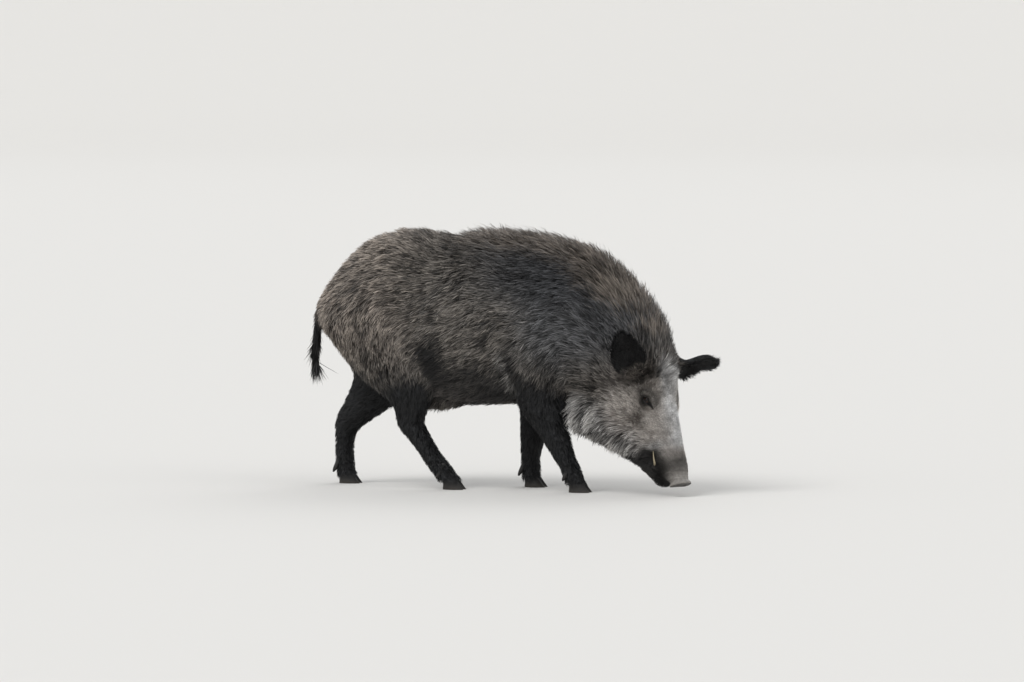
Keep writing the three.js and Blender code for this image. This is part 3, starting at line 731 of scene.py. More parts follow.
def lid_edge(u, v):
    """Distance outside the almond opening: its half height is full at the middle, none at the corners."""
    corner = np.hypot(np.maximum(np.abs(u) - LID_HALF_LENGTH, 0), v)
    share = np.clip(1 - (u / LID_HALF_LENGTH) ** 2, 0, 1)
    return np.where(np.abs(u) < LID_HALF_LENGTH, np.abs(v + 0.6) - LID_HALF_OPENING * share, corner)


def with_lids(points):
    """Moves the skin about each eyeball along rays from its middle."""
    for side, (centre, outward, slit, upper) in eye_axes.items():
        offset = points - centre
        reach = np.linalg.norm(offset, axis=1)
        ray = offset / np.maximum(reach, 1e-6)[:, None]
        facing = (ray @ outward > 0.1) & (reach < 45)
        u, v = LID_RADIUS * ray @ slit, LID_RADIUS * ray @ upper
        edge = lid_edge(u, v)
        rim = mix(EYE_RADIUS - 3.5, LID_RADIUS, smoothstep(-1.0, 0.3, edge))
        folds = sum(height * hump((edge - middle) / width) for height, middle, width in
                    ((0.9, 1.3, 0.9), (-1.0, 4.0, 1.0), (0.8, 6.2, 1.3), (-0.8, 8.8, 1.2)))
        folds *= np.where(v > 0, 1.2, 0.8)
        cover = 1 - smoothstep(1.5, 8.5, edge)
        target = mix(reach, rim, cover) + folds
        target = np.where(edge > 0.2, np.maximum(target, EYE_RADIUS + 0.9), target)
        moved = np.where(facing, mix(reach, target, smoothstep(0.1, 0.45, ray @ outward)), reach)
        points = centre + ray * moved[:, None]
    return points


skin_points = with_lids(skin_points)
print("eyes of", 2 * EYE_RADIUS, "mm, open by", 2 * LID_HALF_OPENING, "mm")


# %% [markdown]
# The mouth is shut. It is one groove drawn along a line from the cheek to under the nose, with a
# swelling above and below as lips, and a bulge where the tusk comes out. A sine along the snout,
# shifted by noise, makes its wrinkles, and two sizes of noise keep the skin from looking turned.

# %% Mouth line, lips and wrinkles
def mouth_line(along):
    """How far to the front the mouth lies, from the cheek to under the nose."""
    return np.interp(along, [200, 235, 294, 325, 352], [-68, -61, -50, -43, -33])


skin_normals = vertex_normals(skin_points, skin_faces)
local = head_local(skin_points)
along, front, left = local.T
off = front - mouth_line(along)
reach = smoothstep(212, 240, along) * (1 - smoothstep(340, 352, along)) * (np.abs(front) < 95)
lips = (-5.5 * hump(off / 2.6) + 2.2 * hump((off - 6.5) / 4.5) + 1.6 * hump((off + 6.5) / 4.5)) * reach
# The lip is pushed out round the root of each tusk.
tusk_lip = np.linalg.norm(np.stack([along - 300, front + 52, np.abs(left) - 38], 1), axis=1)
lips = lips + 6.5 * hump((tusk_lip - 4) / 10)
snout = smoothstep(250, 320, along) * (1 - smoothstep(346, 352, along)) * smoothstep(-45, -15, front)
ripple = np.sin((along + 5 * noise(skin_points, 22, 3)) * 2 * np.pi / 8.5)
wrinkles = 0.55 * ripple * snout * (np.abs(left) < 60)
on_head = smoothstep(-30, 30, along) * (np.linalg.norm(local, axis=1) < 420)
calm = smoothstep(20, 34, eye_reach(skin_points))
relief = (on_head * (1.3 * noise(skin_points, 21, 5) + 0.7 * noise(skin_points, 9, 6)) * calm
          + (1 - on_head) * 2.2 * noise(skin_points, 70, 7)) * (1 - smoothstep(340, 352, along))
skin_points = skin_points + skin_normals * (lips + wrinkles * calm + relief)[:, None]
skin_normals = vertex_normals(skin_points, skin_faces)
print("face finished,", clock())

# %% [markdown]
# ## Where each kind of hair grows
# The coat changes over the body: bristles 5 cm long on the flanks, a standing mane, long pale hair
# on the jowl, hair of a few millimetres on the face. Each part of the body therefore says how long
# its hair is, how far apart its tufts are and which way it lies, and every place on the skin mixes
# the parts near it. The mix is soft, so no border shows.

# %% Weights of the parts and the lie of the coat
# part: place along the chain, then at each place the length, width and spacing of tufts in mm
HAIR = {
    "trunk": ([0, 0.3, 0.75, 1], [44, 46, 50, 52], [2.5, 2.6, 2.6, 2.6], [3.5, 3.45, 3.4, 3.3]),
    "neck": ([0, 0.6, 1], [52, 50, 36], [2.6, 2.5, 2.1], [3.3, 3.1, 2.6]),
    "throat": ([0, 0.5, 1], [64, 60, 24], [2.4, 2.3, 1.7], [3.1, 2.9, 2.4]),
    "skull": ([0, 0.2, 0.45, 0.7, 0.95], [26, 17, 12, 8, 4], [1.8, 1.4, 1.15, 1.0, 0.75],
              [2.2, 1.85, 1.6, 1.5, 1.4]),
    "jaw": ([0, 0.4, 1], [32, 22, 8], [1.9, 1.6, 1.1], [2.4, 2.1, 1.8]),
    "cheek": ([0, 1], [34, 34], [1.9, 1.9], [2.05, 2.05]),
    "brow": ([0, 1], [13, 13], [1.4, 1.4], [1.8, 1.8]),
    "socket": ([0, 1], [7, 7], [1.0, 1.0], [1.5, 1.5]),
    "ear": ([0, 0.25, 1], [17, 12, 13], [1.6, 1.3, 1.3], [2.1, 2.0, 2.0]),
    "nose": ([0, 1], [2, 2], [0.7, 0.7], [3.2, 3.2]),
    "leg": ([0, 0.35, 0.6, 0.85, 1], [40, 29, 19, 14, 21], [2.2, 1.85, 1.45, 1.2, 1.2],
            [3.2, 2.7, 2.25, 2.05, 2.0]),
    "tail": ([0, 0.5, 1], [30, 34, 75], [2.2, 2.0, 2.0], [2.8, 2.5, 2.0]),
    "sheath": ([0, 1], [30, 30], [2.0, 2.0], [3.2, 3.2]),
}
DOWN = np.array([0.0, 0.0, -1.0])


def lie_of(name, spans, points):
    """Place along the chain, and the direction in which that part's hair runs."""
    _, _, place, angle, nearest = measure(spans, points)
    along = spans["along"][nearest]
    side_on = np.abs(np.sin(angle))[:, None]
    if name == "trunk":
        low = (np.cos(angle)[:, None] < -0.2) * 0.25
        lie = -along + DOWN * (0.55 * side_on + low)
    elif name == "neck":
        lie = -along + DOWN * side_on * mix(0.6, 0.05, place)[:, None]
    elif name == "throat":
        lie = -0.55 * along + DOWN * 0.8 - 0.25 * HEAD_FRONT
    elif name == "skull":
        lie = -along - HEAD_FRONT * 0.35 * side_on
    elif name == "jaw":
        lie = -along - HEAD_FRONT * 0.6
    elif name == "tail":
        lie = along
    else:
        lie = along + np.array([-0.45, 0, 0]) * (1 - place)[:, None]
    return place, unit(lie)


found = parts_at(skin_points)
local = head_local(skin_points)
places, lies, kinds = {}, {}, {}
for name, spans in CHAINS.items():
    places[name], lies[name] = lie_of(name, spans, skin_points)
    kinds[name] = "leg" if name in LEGS else name
for name in ("cheek", "brow", "socket"):
    for side in ("-1", "1"):
        places[name + side] = np.zeros(len(skin_points))
        lies[name + side] = np.broadcast_to(unit(-HEAD_ALONG - 0.45 * HEAD_FRONT), skin_points.shape)
        kinds[name + side] = name
for side, shape in EARS.items():
    t, across, out = ear_frame(shape, skin_points)
    places[side + "_ear"] = np.clip(t, 0, 1)
    lies[side + "_ear"] = unit(shape["axis"] + shape["across"] * (across / 48)[:, None])
    kinds[side + "_ear"] = "ear"
for name, lie in (("nose", -HEAD_ALONG), ("sheath", np.array([-0.4, 0.0, -0.9]))):
    places[name], kinds[name] = np.zeros(len(skin_points)), name
    lies[name] = np.broadcast_to(unit(lie), skin_points.shape)
names = list(found)
near_by = np.stack([found[name] for name in names])
weight = np.exp(-np.clip(near_by - near_by.min(0), 0, 200) / 9)
weight /= weight.sum(0)
hair_length, hair_width, spacing = (
    sum(weight[i] * np.interp(places[name], HAIR[kinds[name]][0], HAIR[kinds[name]][k])
        for i, name in enumerate(names)) for k in (1, 2, 3))
lie = unit(sum(weight[i][:, None] * lies[name] for i, name in enumerate(names)))
print("hair length, mm:", hair_length.min().round(1), "to", hair_length.max().round(1))
share = {kind: sum(weight[i] for i, name in enumerate(names) if kinds[name] == kind) for kind in HAIR}
coat_depth = np.clip(body_field(skin_points) - body_field(skin_points, coated=True), 0.5, 70)

# %% [markdown]
# Some places don't follow the body's parts. Hair is shortest round the eyes, lies flat in front of the
# jaw muscle and is longer along an ear's rim. A hollow before the thigh and a crease behind each elbow
# carry less hair, so they read as folds.

# %% Shorter by the eyes and on the cheek, longer on the mane and round the ears
along, front, left = local.T
at_eye = smoothstep(16, 44, eye_reach(skin_points))
head_share = share["skull"] + share["cheek"] + share["brow"] + share["socket"]
face_flat = smoothstep(-132, -104, front + 0.2 * (along - 100)) * smoothstep(20, 60, along) * head_share
for value, by_eye, on_face in ((hair_length, 0.3, 0.5), (hair_width, 0.6, 0.75), (spacing, 0.72, 0.82),
                               (coat_depth, 0.2, 0.5)):
    value *= mix(by_eye, 1, at_eye) * mix(1, on_face, face_flat)
hair_length = np.maximum(hair_length, 1.45 * coat_depth * smoothstep(30, 40, coat_depth))
# The fold before the thigh is a hollow, and a crease runs up behind each elbow.
x, y, z = skin_points.T
flank_hollow = hump((x + 178 + 0.3 * (z - 400)) / 30, (z - 398) / 58) * (share["trunk"] > 0.4)
# Its painted shade is rooted a little ahead, because each tuft lies back over 2 cm of its neighbours.
hollow_shade = hump((x + 162 + 0.3 * (z - 400)) / 34, (z - 408) / 60) * (share["trunk"] > 0.4)
elbow = x - 76 - 30 * (y > 0) + 0.12 * (z - 380)
fold_height = smoothstep(285, 320, z) * smoothstep(490, 430, z) * (np.abs(y) > 60)
elbow_crease = hump((elbow - 14) / 14) * fold_height
coat_depth *= 1 - 0.6 * np.clip(flank_hollow + 0.8 * elbow_crease, 0, 1)
leaf = np.zeros(len(skin_points))
for side, shape in EARS.items():
    t, across, out = ear_frame(shape, skin_points)
    on_leaf = weight[names.index(side + "_ear")] * smoothstep(0.0, 0.14, t)
    leaf += on_leaf
    to_edge = np.abs(across) / np.maximum(ear_width(shape, np.clip(t, 0, 1)), 5)
    rim = smoothstep(0.72, 0.97, np.maximum(to_edge, t))
    hair_length += on_leaf * rim * 7
print("coat depth, mm:", coat_depth.min().round(1), "to", coat_depth.max().round(1))

# %% [markdown]
# ## Colours of coat and skin
# Wild boar bristles are banded: nearly black at the root and pale at the split tip, which makes the
# flank look frosted. Legs and ears stay black, the face and jowl go grey with age, and a tan fringe
# runs along the mane. One set of markings, worked out from the place on the body, colours both the
# skin and the tufts, so a gap between tufts never shows a wrong colour. A few zones are painted shade
# instead: the hollow before the thigh, the elbow creases and the belly behind them, the underside of
# the nose disc and part of the dark round each eye.


# %% Markings
def colour(code):
    """An sRGB hex colour as linear red, green and blue."""
    channels = np.array([int(code[i:i + 2], 16) for i in (1, 3, 5)]) / 255
    return np.where(channels <= 0.04045, channels / 12.92, ((channels + 0.055) / 1.055) ** 2.4)


# zone: root colour, tip colour
PELT = {
    "flank": ("#1f1c1a", "#8f8880"), "shoulder": ("#191a1b", "#777779"), "rump": ("#302b27", "#b3a79b"),
    "withers": ("#151517", "#4f5053"), "mane": ("#2a2622", "#887e74"), "belly": ("#131212", "#4c4845"),
    # hollow: painted shade, near black, for the hollow before the thigh, the elbow creases and the belly behind
    # the elbows.
    "hollow": ("#080707", "#191716"), "fold": ("#383635", "#aeaba7"), "groin": ("#383533", "#756f6b"),
    "jowl": ("#201e1d", "#d2cfcb"), "cheek": ("#928b85", "#dcd6d0"), "forehead": ("#adacab", "#ffffff"),
    "temple": ("#534e4a", "#9e9791"), "pale ring": ("#6a6662", "#c0bcb7"),
    "pad": ("#75726f", "#d4d2d0"), "muzzle": ("#0e0d0d", "#2d2a28"),
    # lid: the lids' own dark skin, with painted shade of the lids and their folds round the eye.
    "snout": ("#3e3c39", "#8d8984"), "mouth": ("#070606", "#151313"), "lid": ("#060505", "#0f0d0d"),
    "ear": ("#040405", "#101012"), "leg": ("#080809", "#222325"), "tail": ("#0d0d0e", "#2b2928"),
    # The dark underside of the nose disc is painted shade.
    "nose": ("#807c77", "#807c77"), "nose underside shade": ("#1f1d1c", "#1f1d1c"),
}
PELT = {zone: (colour(root), colour(tip)) for zone, (root, tip) in PELT.items()}


def layered(base, *layers):
    """Each layer covers what is under it by its own share."""
    for share_here, value in layers:
        base = mix(base, value, np.clip(share_here, 0, 1)[:, None])
    return base


back_top = smoothstep(0.35, 0.85, (skin_normals + 0.25 * HEAD_FRONT * share["neck"][:, None])[:, 2])
behind_poll = share["trunk"] + share["neck"] + share["skull"] * smoothstep(30, -20, along)
back_top *= behind_poll
ragged = 1 + 0.35 * noise(skin_points, 40, 51)
eye_ring, tear = np.zeros(len(skin_points)), np.zeros(len(skin_points))
lid_distance = np.full(len(skin_points), 99.0)
for centre, outward, slit, upper in eye_axes.values():
    close = np.linalg.norm(skin_points - centre, axis=1) < 70
    ray = skin_points - centre
    u, v = ray @ slit, ray @ upper
    ball = unit(ray) * LID_RADIUS
    edge = lid_edge(ball @ slit, ball @ upper)
    edge = edge + np.maximum(np.linalg.norm(ray, axis=1) - EYE_RADIUS - 5, 0)
    edge = np.where(close & (ray @ outward > 0), edge, 99)
    lid_distance = np.minimum(lid_distance, edge)
    ring = hump((np.hypot(u * 0.8, v - 3) - 22) / 7) * (v > -6)
    eye_ring += ring * close
    # A dark line of tears runs down from the corner and curves to the cheek.
    off_line = v + 0.012 * (u - 14) ** 2 * (u > 14) + 1
    tear += close * hump(off_line / 3.2) * smoothstep(8, 15, u) * (1 - smoothstep(26, 40, u))
high_side = smoothstep(0.0, 0.45, skin_normals[:, 2]) * (share["trunk"] + share["neck"])
muzzle_line = along - 0.55 * (front + 35) * (front < -35) + 6 * ragged
zones = [
    ("shoulder", smoothstep(40, 200, x) * (share["trunk"] + share["neck"]) * smoothstep(300, 460, z)),
    ("rump", smoothstep(-150, -400, x) * smoothstep(300, 520, z)),
    ("withers", 0.85 * high_side * smoothstep(-120, 80, x) * smoothstep(430, 350, x)),
    ("belly", smoothstep(-0.1, -0.6, skin_normals[:, 2]) * share["trunk"] * ragged),
    # Painted shade: near black in the hollow before the thigh, in the crease behind each elbow and under the
    # belly just behind the elbows.
    ("hollow", 1.9 * hollow_shade + 1.2 * elbow_crease
     + 0.8 * hump((x - 20) / 75, (z - 312) / 30) * share["trunk"]),
    ("fold", 0.85 * hump((elbow + 12) / 9) * fold_height * smoothstep(470, 430, z)),
    ("groin", hump((x + 150) / 60, (z - 290) / 30) * share["trunk"]),
    ("mane", smoothstep(0.7, 0.93, skin_normals[:, 2] + 0.35 * (skin_normals @ HEAD_FRONT) * share["neck"])
     * behind_poll * smoothstep(-300, 60, x)),
    ("jowl", share["throat"] + 0.7 * share["jaw"] * smoothstep(280, 120, along) + 0.5 * share["cheek"]),
    ("temple", 0.9 * hump((along - 42) / 48, (front + 45) / 50) * (on_head > 0.2)),
    ("cheek", 1.3 * face_flat),
    ("snout", smoothstep(235, 310, along) * (share["skull"] + share["jaw"])),
    ("forehead", share["skull"] * np.exp(-((left - 13) / 40) ** 4) * smoothstep(-40, -12, front)
     * smoothstep(-15, 25, along) * smoothstep(275, 232, along) * ragged),
    ("pad", 1.2 * hump((along - 236) / 14, (front + 20) / 30)),
    ("pale ring", eye_ring),
    ("muzzle", smoothstep(240, 260, muzzle_line) * smoothstep(14 + 0.16 * (along - 290), -34, front)
     * (1 - share["nose"])),
    ("mouth", smoothstep(212, 235, along) * hump((front - mouth_line(along)) / 13)
     * (share["skull"] + share["jaw"])),
    # Dark lid skin and a tear stain, spread wider round the eye as painted shade of the lids and their folds.
    ("lid", hump(np.maximum(lid_distance - 2, 0) / 6.0) + 0.9 * tear),
    ("leg", share["leg"] * smoothstep(405, 310, z * ragged ** 0.3)),
    ("ear", leaf),
    ("tail", share["tail"] * smoothstep(0.1, 0.4, places["tail"])),
    ("nose", share["nose"] + share["skull"] * smoothstep(322, 334, along) * smoothstep(2, 14, front)),
    # Painted shade: the part of the nose disc that faces down is darker, for the shadow under it.
    ("nose underside shade", share["nose"] * smoothstep(-0.35, -0.75, skin_normals[:, 2])),
]
root_colour, tip_colour = (
    layered(np.broadcast_to(PELT["flank"][end], skin_points.shape),
            *[(cover, PELT[zone][end]) for zone, cover in zones]) for end in (0, 1))
print(len(zones) + 1, "zones of colour")

# %% [markdown]
# ## Tufts
# Hair particles and curves do not leave Blender as a mesh, so each tuft is a thin pointed blade of
# a few triangles: pairs of points along a bent middle line and one point at the tip. Roots are sown
# evenly by the area of the skin's triangles. Near blades lean together into locks, because each tip
# is pulled toward the nearest crest of a noise with cells as wide as a lock, about 13 mm.

# %% Sow the roots
dice = np.random.default_rng(11)
bald = smoothstep(0.25, 0.5, share["nose"]) + (z < SOLE_TOP + 1.5)
for centre, outward, slit, upper in eye_axes.values():
    ray = unit(skin_points - centre) * LID_RADIUS
    close = np.linalg.norm(skin_points - centre, axis=1) < 26
    bald = bald + close * (lid_edge(ray @ slit, ray @ upper) < 3.2)
bald = np.clip(bald, 0, 1)
corners = skin_points[skin_faces]
area = np.linalg.norm(np.cross(corners[:, 1] - corners[:, 0], corners[:, 2] - corners[:, 0]), axis=1) / 2
expected = area * ((1 - bald) / spacing ** 2)[skin_faces].mean(1)
total = np.cumsum(expected)
count = int(total[-1])
home = np.searchsorted(total, (np.arange(count) + dice.random(count)) * total[-1] / count)
home = home.clip(0, len(area) - 1)
u, v = np.sqrt(dice.random(count)), dice.random(count)
share_of_corner = np.stack([1 - u, u * (1 - v), u * v], 1)


def at_roots(values):
    """A value known at the skin's vertices, at the tufts' roots."""
    picked = values[skin_faces[home]]
    return np.einsum("ij,ij...->i...", share_of_corner, picked)


roots, root_normals = at_roots(skin_points), unit(at_roots(skin_normals))
print(count, "tufts on", round(area.sum() / 1e6, 2), "square metres of skin")

# %% [markdown]
# A tuft could simply stand along the skin's normal, but a coat lies: each tuft starts in the direction
# of the lie, turned a little by noise so that no two neighbours match, and rises by a share of the
# coat's depth. The body curves away under a long tuft, so the field tells how far its tip really is
# from the coat's surface, and the tip is moved by the difference.

# %% Lean, length and locks
LOCK = 13.0
lean = at_roots(lie)
lean = unit(lean - root_normals * (lean * root_normals).sum(1, keepdims=True))
sideways = np.cross(root_normals, lean)
swirl = 0.38 * noise(roots, 120, 21) + 0.34 * noise(roots, 30, 22) + 0.13 * dice.standard_normal(count)
lean = lean * np.cos(swirl)[:, None] + sideways * np.sin(swirl)[:, None]
sideways = np.cross(root_normals, lean)
depth = at_roots(coat_depth)
long_by = (0.72 + 0.5 * dice.random(count)) * at_roots(hair_length)
wide_by = (0.7 + 0.6 * dice.random(count)) * at_roots(hair_width)
rise = 0.5 + 0.5 * dice.random(count) ** 0.8 + 0.18 * (dice.random(count) > 0.93)
shaggy = at_roots(np.clip(share["throat"] + share["cheek"] + share["jaw"], 0, 1) * (1 - face_flat))
smooth_lie = at_roots(np.clip(back_top * 0.6 + head_share * face_flat, 0, 1))


def crests(points):
    """Crests of the locks: cells of 13 mm, and of 19 mm where the coat is shaggy."""
    return mix(noise(points, LOCK, 31), noise(points, 1.45 * LOCK, 32), shaggy)


crest = crests(roots)
pull = np.stack([crests(roots + step) - crest for step in 2.0 * np.eye(3)], 1) / 2.0
pull -= root_normals * (pull * root_normals).sum(1, keepdims=True)
pull *= (np.minimum(0.2 * long_by, 9) * LOCK * 1.1 * (1 - 0.7 * smooth_lie))[:, None]
standing = depth * rise
tips = roots + lean * np.sqrt(np.maximum(long_by ** 2 - standing ** 2, (0.35 * long_by) ** 2))[:, None] \
    + root_normals * standing[:, None] + pull
# The body curves away under a long tuft, so each tip is brought back to its own depth of the coat.
over = body_field(tips, coated=True) + (1 - rise) * depth
# Hair at the coronet hangs over the top of the hooves, which are not part of that field.
coronet = smoothstep(SOLE_TOP + 22, SOLE_TOP + 6, roots[:, 2])
tips -= root_normals * mix(np.clip(over, -25, 30), -5.0, coronet)[:, None]
height = ((tips - roots) * root_normals).sum(1)
tips += root_normals * np.maximum(0.12 * long_by.clip(0, 20) - height, 0)[:, None]
tips[:, 2] = np.maximum(tips[:, 2], 4)  # none reaches the floor
print("locks done,", clock())


# %% [markdown]
# Blades are built all at once, as an array of tufts by steps by three. A blade is widest near its
# root and a little rolled about its length, so that its neighbours catch the light differently.

# %% Blades
def blades(chosen, steps):
    """Middle line: from root to tip along the skin evenly, and off it fast at first, as 1 - (1 - t)^1.8.

    Each step has a left and a right point, half a width to either side; the last is the tip."""
    base, tip, normal, wide = roots[chosen], tips[chosen], root_normals[chosen], wide_by[chosen]
    reach = tip - base
    up = (reach * normal).sum(1, keepdims=True)
    flat = reach - normal * up
    t = np.arange(steps + 1) / steps
    line = (base - 1.2 * normal)[:, None] + flat[:, None] * t[None, :, None] \
        + (normal * (up + 1.2))[:, None] * (1 - (1 - t) ** 1.8)[None, :, None]
    roll = 0.5 * dice.standard_normal(len(base))
    edge = unit(np.cross(normal, flat)) * np.cos(roll)[:, None] + normal * np.sin(roll)[:, None]
    half = (wide[:, None] * np.interp(t, [0, 0.3, 0.7, 1], [0.36, 0.5, 0.36, 0.02]))[:, :-1, None]
    pairs = np.stack([line[:, :-1] - edge[:, None] * half, line[:, :-1] + edge[:, None] * half], 2)
    points = np.concatenate([pairs.reshape(len(base), -1, 3), line[:, -1:]], 1)
    along = np.append(np.repeat(t[:-1], 2), 1.0)
    corner = []
    for k in range(steps - 1):
        a, b, c, d = 2 * k, 2 * k + 1, 2 * k + 2, 2 * k + 3
        corner += [(a, d, b), (a, c, d)]
    corner.append((2 * steps - 2, 2 * steps, 2 * steps - 1))
    faces = np.array(corner)[None] + (np.arange(len(base)) * (2 * steps + 1))[:, None, None]
    return points.reshape(-1, 3), faces.reshape(-1, 3), along


print("a blade of 4 steps has", 2 * 4 - 1, "triangles")

# %% [markdown]
# Real bristles differ: in one lock some are pale to the tip and some stay dark. So the markings give
# only the mean. Chance and slow noise decide how pale each tip is, and the crest of the lock adds
# painted highlight to its tips, with painted shade on the tufts in the gaps between locks.

# %% A colour for each tuft
root_tint, tip_tint = at_roots(root_colour), at_roots(tip_colour)
# How much pale tip shows: the crest term is painted highlight on locks and painted shade between them.
frost_and_highlight = (0.52 + 0.3 * dice.standard_normal(count) + (0.55 + 0.4 * shaggy) * crest
         + 0.25 * noise(roots, 48, 41))
# Above 1 a tip is painted paler than its own colour, as painted highlight.
frost_and_highlight = np.clip(frost_and_highlight + 0.14 * noise(roots, 150, 42) + 0.3 * smooth_lie, 0.0, 1.3)
bright = np.exp(0.18 * dice.standard_normal(count))
root_shade = root_tint * bright[:, None]
tip_shade = mix(root_tint, tip_tint, frost_and_highlight[:, None]) * bright[:, None]
print("linear colours of roots up to", root_shade.max().round(2), "and of tips up to", tip_shade.max().round(2),
      "with", int((tip_shade.max(1) > 1).sum()), "tips over 1")

# %% [markdown]
# For baking, each tuft owns a patch of the UV map OFBake. Overlapping tufts could share one patch, but
# then they would share one colour. The patch is 0.003 across and lies at the root's place on the skin
# laid flat: place along the chain one way, angle round it the other.

# %% The skin laid flat
# Parts without a chain are laid flat with the chain that they grow on.
chain_of = {name: "skull" for name in names if name.startswith(("cheek", "brow", "socket", "nose"))}
chain_of["sheath"] = "trunk"
main_name = np.array(names)[np.argmax(at_roots(weight.T), 1)]


def unwrap(chosen):
    """The skin laid flat: place along its chain and angle round it, one column for each chain.

    An ear is laid flat as its two faces, one over the other."""
    flat = np.zeros((len(chosen), 2))
    groups = np.array([chain_of.get(name, name) for name in main_name[chosen]])
    columns = np.unique(groups)
    for number, group in enumerate(columns):
        here = np.flatnonzero(groups == group)
        where = roots[chosen[here]]
        if group in CHAINS:
            _, _, place, angle, _ = measure(CHAINS[group], where)
            turn = angle / (2 * np.pi) + 0.5
        else:
            shape = EARS[group.split("_")[0]]
            place, across, out = ear_frame(shape, where)
            place = np.clip(place * 0.8 + 0.15, 0, 1)
            facing = root_normals[chosen[here]] @ shape["normal"]
            turn = np.where(facing > 0, 0.25, 0.75) + np.clip(across / 250, -0.24, 0.24)
        flat[here] = np.stack([(number + 0.03 + 0.93 * place) / len(columns), 0.02 + 0.955 * turn], 1)
    return flat


print("the unwrap has a column for each of", len(CHAINS) + len(EARS), "parts")

# %% [markdown]
# The coat is parted into fifteen pieces by place, so that none is too heavy to handle.

# %% Pieces of the coat
PATCH = 0.003
coat_pieces = []


def coat_piece(name, chosen, steps):
    """The chosen tufts as one mesh, coloured and unwrapped, which rides on the boar."""
    points, faces, along = blades(chosen, steps)
    mesh = mesh_from(name, points, faces)
    tint = mix(root_shade[chosen][:, None], tip_shade[chosen][:, None], (along ** 0.8)[None, :, None])
    painted(mesh, tint.reshape(-1, 3))
    place = unwrap(chosen)
    spot = np.stack([np.append(np.tile([0.0, 1.0], steps), 0.5), along], 1) * PATCH
    uv = (place[:, None] + spot[None]).reshape(-1, 2)[faces.ravel()]
    bake = mesh.uv_layers.new(name="OFBake")
    bake.data.foreach_set("uv", uv.astype(np.float32).ravel())
    piece = bpy.data.objects.new(name, mesh)
    bpy.context.scene.collection.objects.link(piece)
    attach(piece, "root")
    coat_pieces.append(piece)
    print(name, len(chosen), "tufts", len(faces), "triangles")
    return piece


main_part = np.argmax(at_roots(np.stack([share[kind] for kind in HAIR], 1)), 1)
kind_of = np.array(list(HAIR))[main_part]
rx, ry = roots[:, 0], roots[:, 1]
on_trunk = np.isin(kind_of, ["trunk", "sheath"])
on_leg, on_face = kind_of == "leg", np.isin(kind_of, ["skull", "brow", "socket", "nose", "jaw"])
on_rump, on_flank, on_shoulder = rx < -240, (rx >= -240) & (rx < 30), rx >= 30
places_to_grow = []
for word, sign in (("right", -1), ("left", 1)):
    body_side, leg_side = (root_normals[:, 1] > 0) == (sign > 0), (ry >= 0) == (sign > 0)
    face_side = (at_roots(left) >= 0) == (sign > 0)
    places_to_grow += [
        ("coat_rump_" + word, on_trunk & on_rump & body_side, 4),
        ("coat_flank_" + word, on_trunk & on_flank & body_side, 4),
        ("coat_shoulder_" + word, (on_trunk & on_shoulder | (kind_of == "neck")) & body_side, 4),
        ("coat_face_" + word, on_face & face_side, 3),
        ("coat_foreleg_" + word, on_leg & (rx > -100) & leg_side, 3),
        ("coat_hindleg_" + word, on_leg & (rx <= -100) & leg_side, 3)]
places_to_grow += [("coat_jowl", np.isin(kind_of, ["throat", "cheek"]), 4),
                   ("coat_ears", kind_of == "ear", 3), ("coat_tail", kind_of == "tail", 4)]
# The blades' roll is drawn in this order, back to front and right before left.
ORDER = ["rump", "flank", "shoulder", "jowl", "face", "ears", "foreleg", "hindleg", "tail"]
places_to_grow.sort(key=lambda entry: ORDER.index(entry[0].split("_")[1]))
for name, where, steps in places_to_grow:
    coat_piece(name, np.flatnonzero(where), steps)
print("coat done,", sum(len(piece.data.polygons) for piece in coat_pieces), "triangles,", clock())

# %% [markdown]
# ## Finishes
# A finish starts from what the real thing is. A bristle is dull horn with a weak gloss, hide is
# leathery, the nose is moist gristle with pores, hooves are layered horn, a tusk is ivory and an eye
# is wet. Colour comes from the markings, and the nodes add what is finer than a vertex.


# %% A node helper
def node(tree, kind, values=(), links=(), **settings):
    """Adds one node with its settings, then its input values and the sockets that feed it."""
    made = tree.nodes.new(kind)
    for key, value in settings.items():
        setattr(made, key, value)
    for key, value in dict(values).items():
        made.inputs[key].default_value = value
    for key, source in dict(links).items():
        tree.links.new(source, made.inputs[key])
    return made


def feed(shader, source, socket):
    """Leads an output of one node to the shader's socket of this name."""
    shader.id_data.links.new(source, shader.inputs[socket])


def finish(name, roughness, **values):
    """A new material whose shader has these plain values."""
    material = bpy.data.materials.new(name)
    material.use_nodes = True
    shader = material.node_tree.nodes["Principled BSDF"]
    shader.inputs["Roughness"].default_value = roughness
    for key, value in values.items():
        shader.inputs[key.replace("_", " ")].default_value = value
    return material, material.node_tree, shader


# %% [markdown]
# A bristle is dull horn with a broad weak shine. A blade stands for about five hairs, so a noise
# stretched along the blade darkens and lightens it in five streaks.

# %% Bristle
# Looks like dull horn: a broad weak shine, no glint.
bristle, tree, shader = finish("boar_bristle", 0.55, Specular_IOR_Level=0.4)
pelt = node(tree, "ShaderNodeAttribute", attribute_name="pelt")
laid_flat = node(tree, "ShaderNodeUVMap", uv_map="OFBake")
# Five hairs across a blade, each running its whole length.
stretched = node(tree, "ShaderNodeMapping", {"Scale": (5 / PATCH, 0.35 / PATCH, 1)},
                 {"Vector": laid_flat.outputs["UV"]})
streaks = node(tree, "ShaderNodeTexNoise", {"Scale": 1.0, "Detail": 1.0},
               {"Vector": stretched.outputs["Vector"]})
darker = node(tree, "ShaderNodeMapRange", {"From Min": 0.3, "From Max": 0.7, "To Min": 0.7, "To Max": 1.25},
              {"Value": streaks.outputs["Fac"]})
streaked = node(tree, "ShaderNodeVectorMath", (), {0: pelt.outputs["Color"], 1: darker.outputs["Result"]},
                operation="MULTIPLY")
feed(shader, streaked.outputs["Vector"], "Base Color")
for piece in coat_pieces:
    piece.data.materials.append(bristle)
print("bristle on", len(coat_pieces), "pieces")

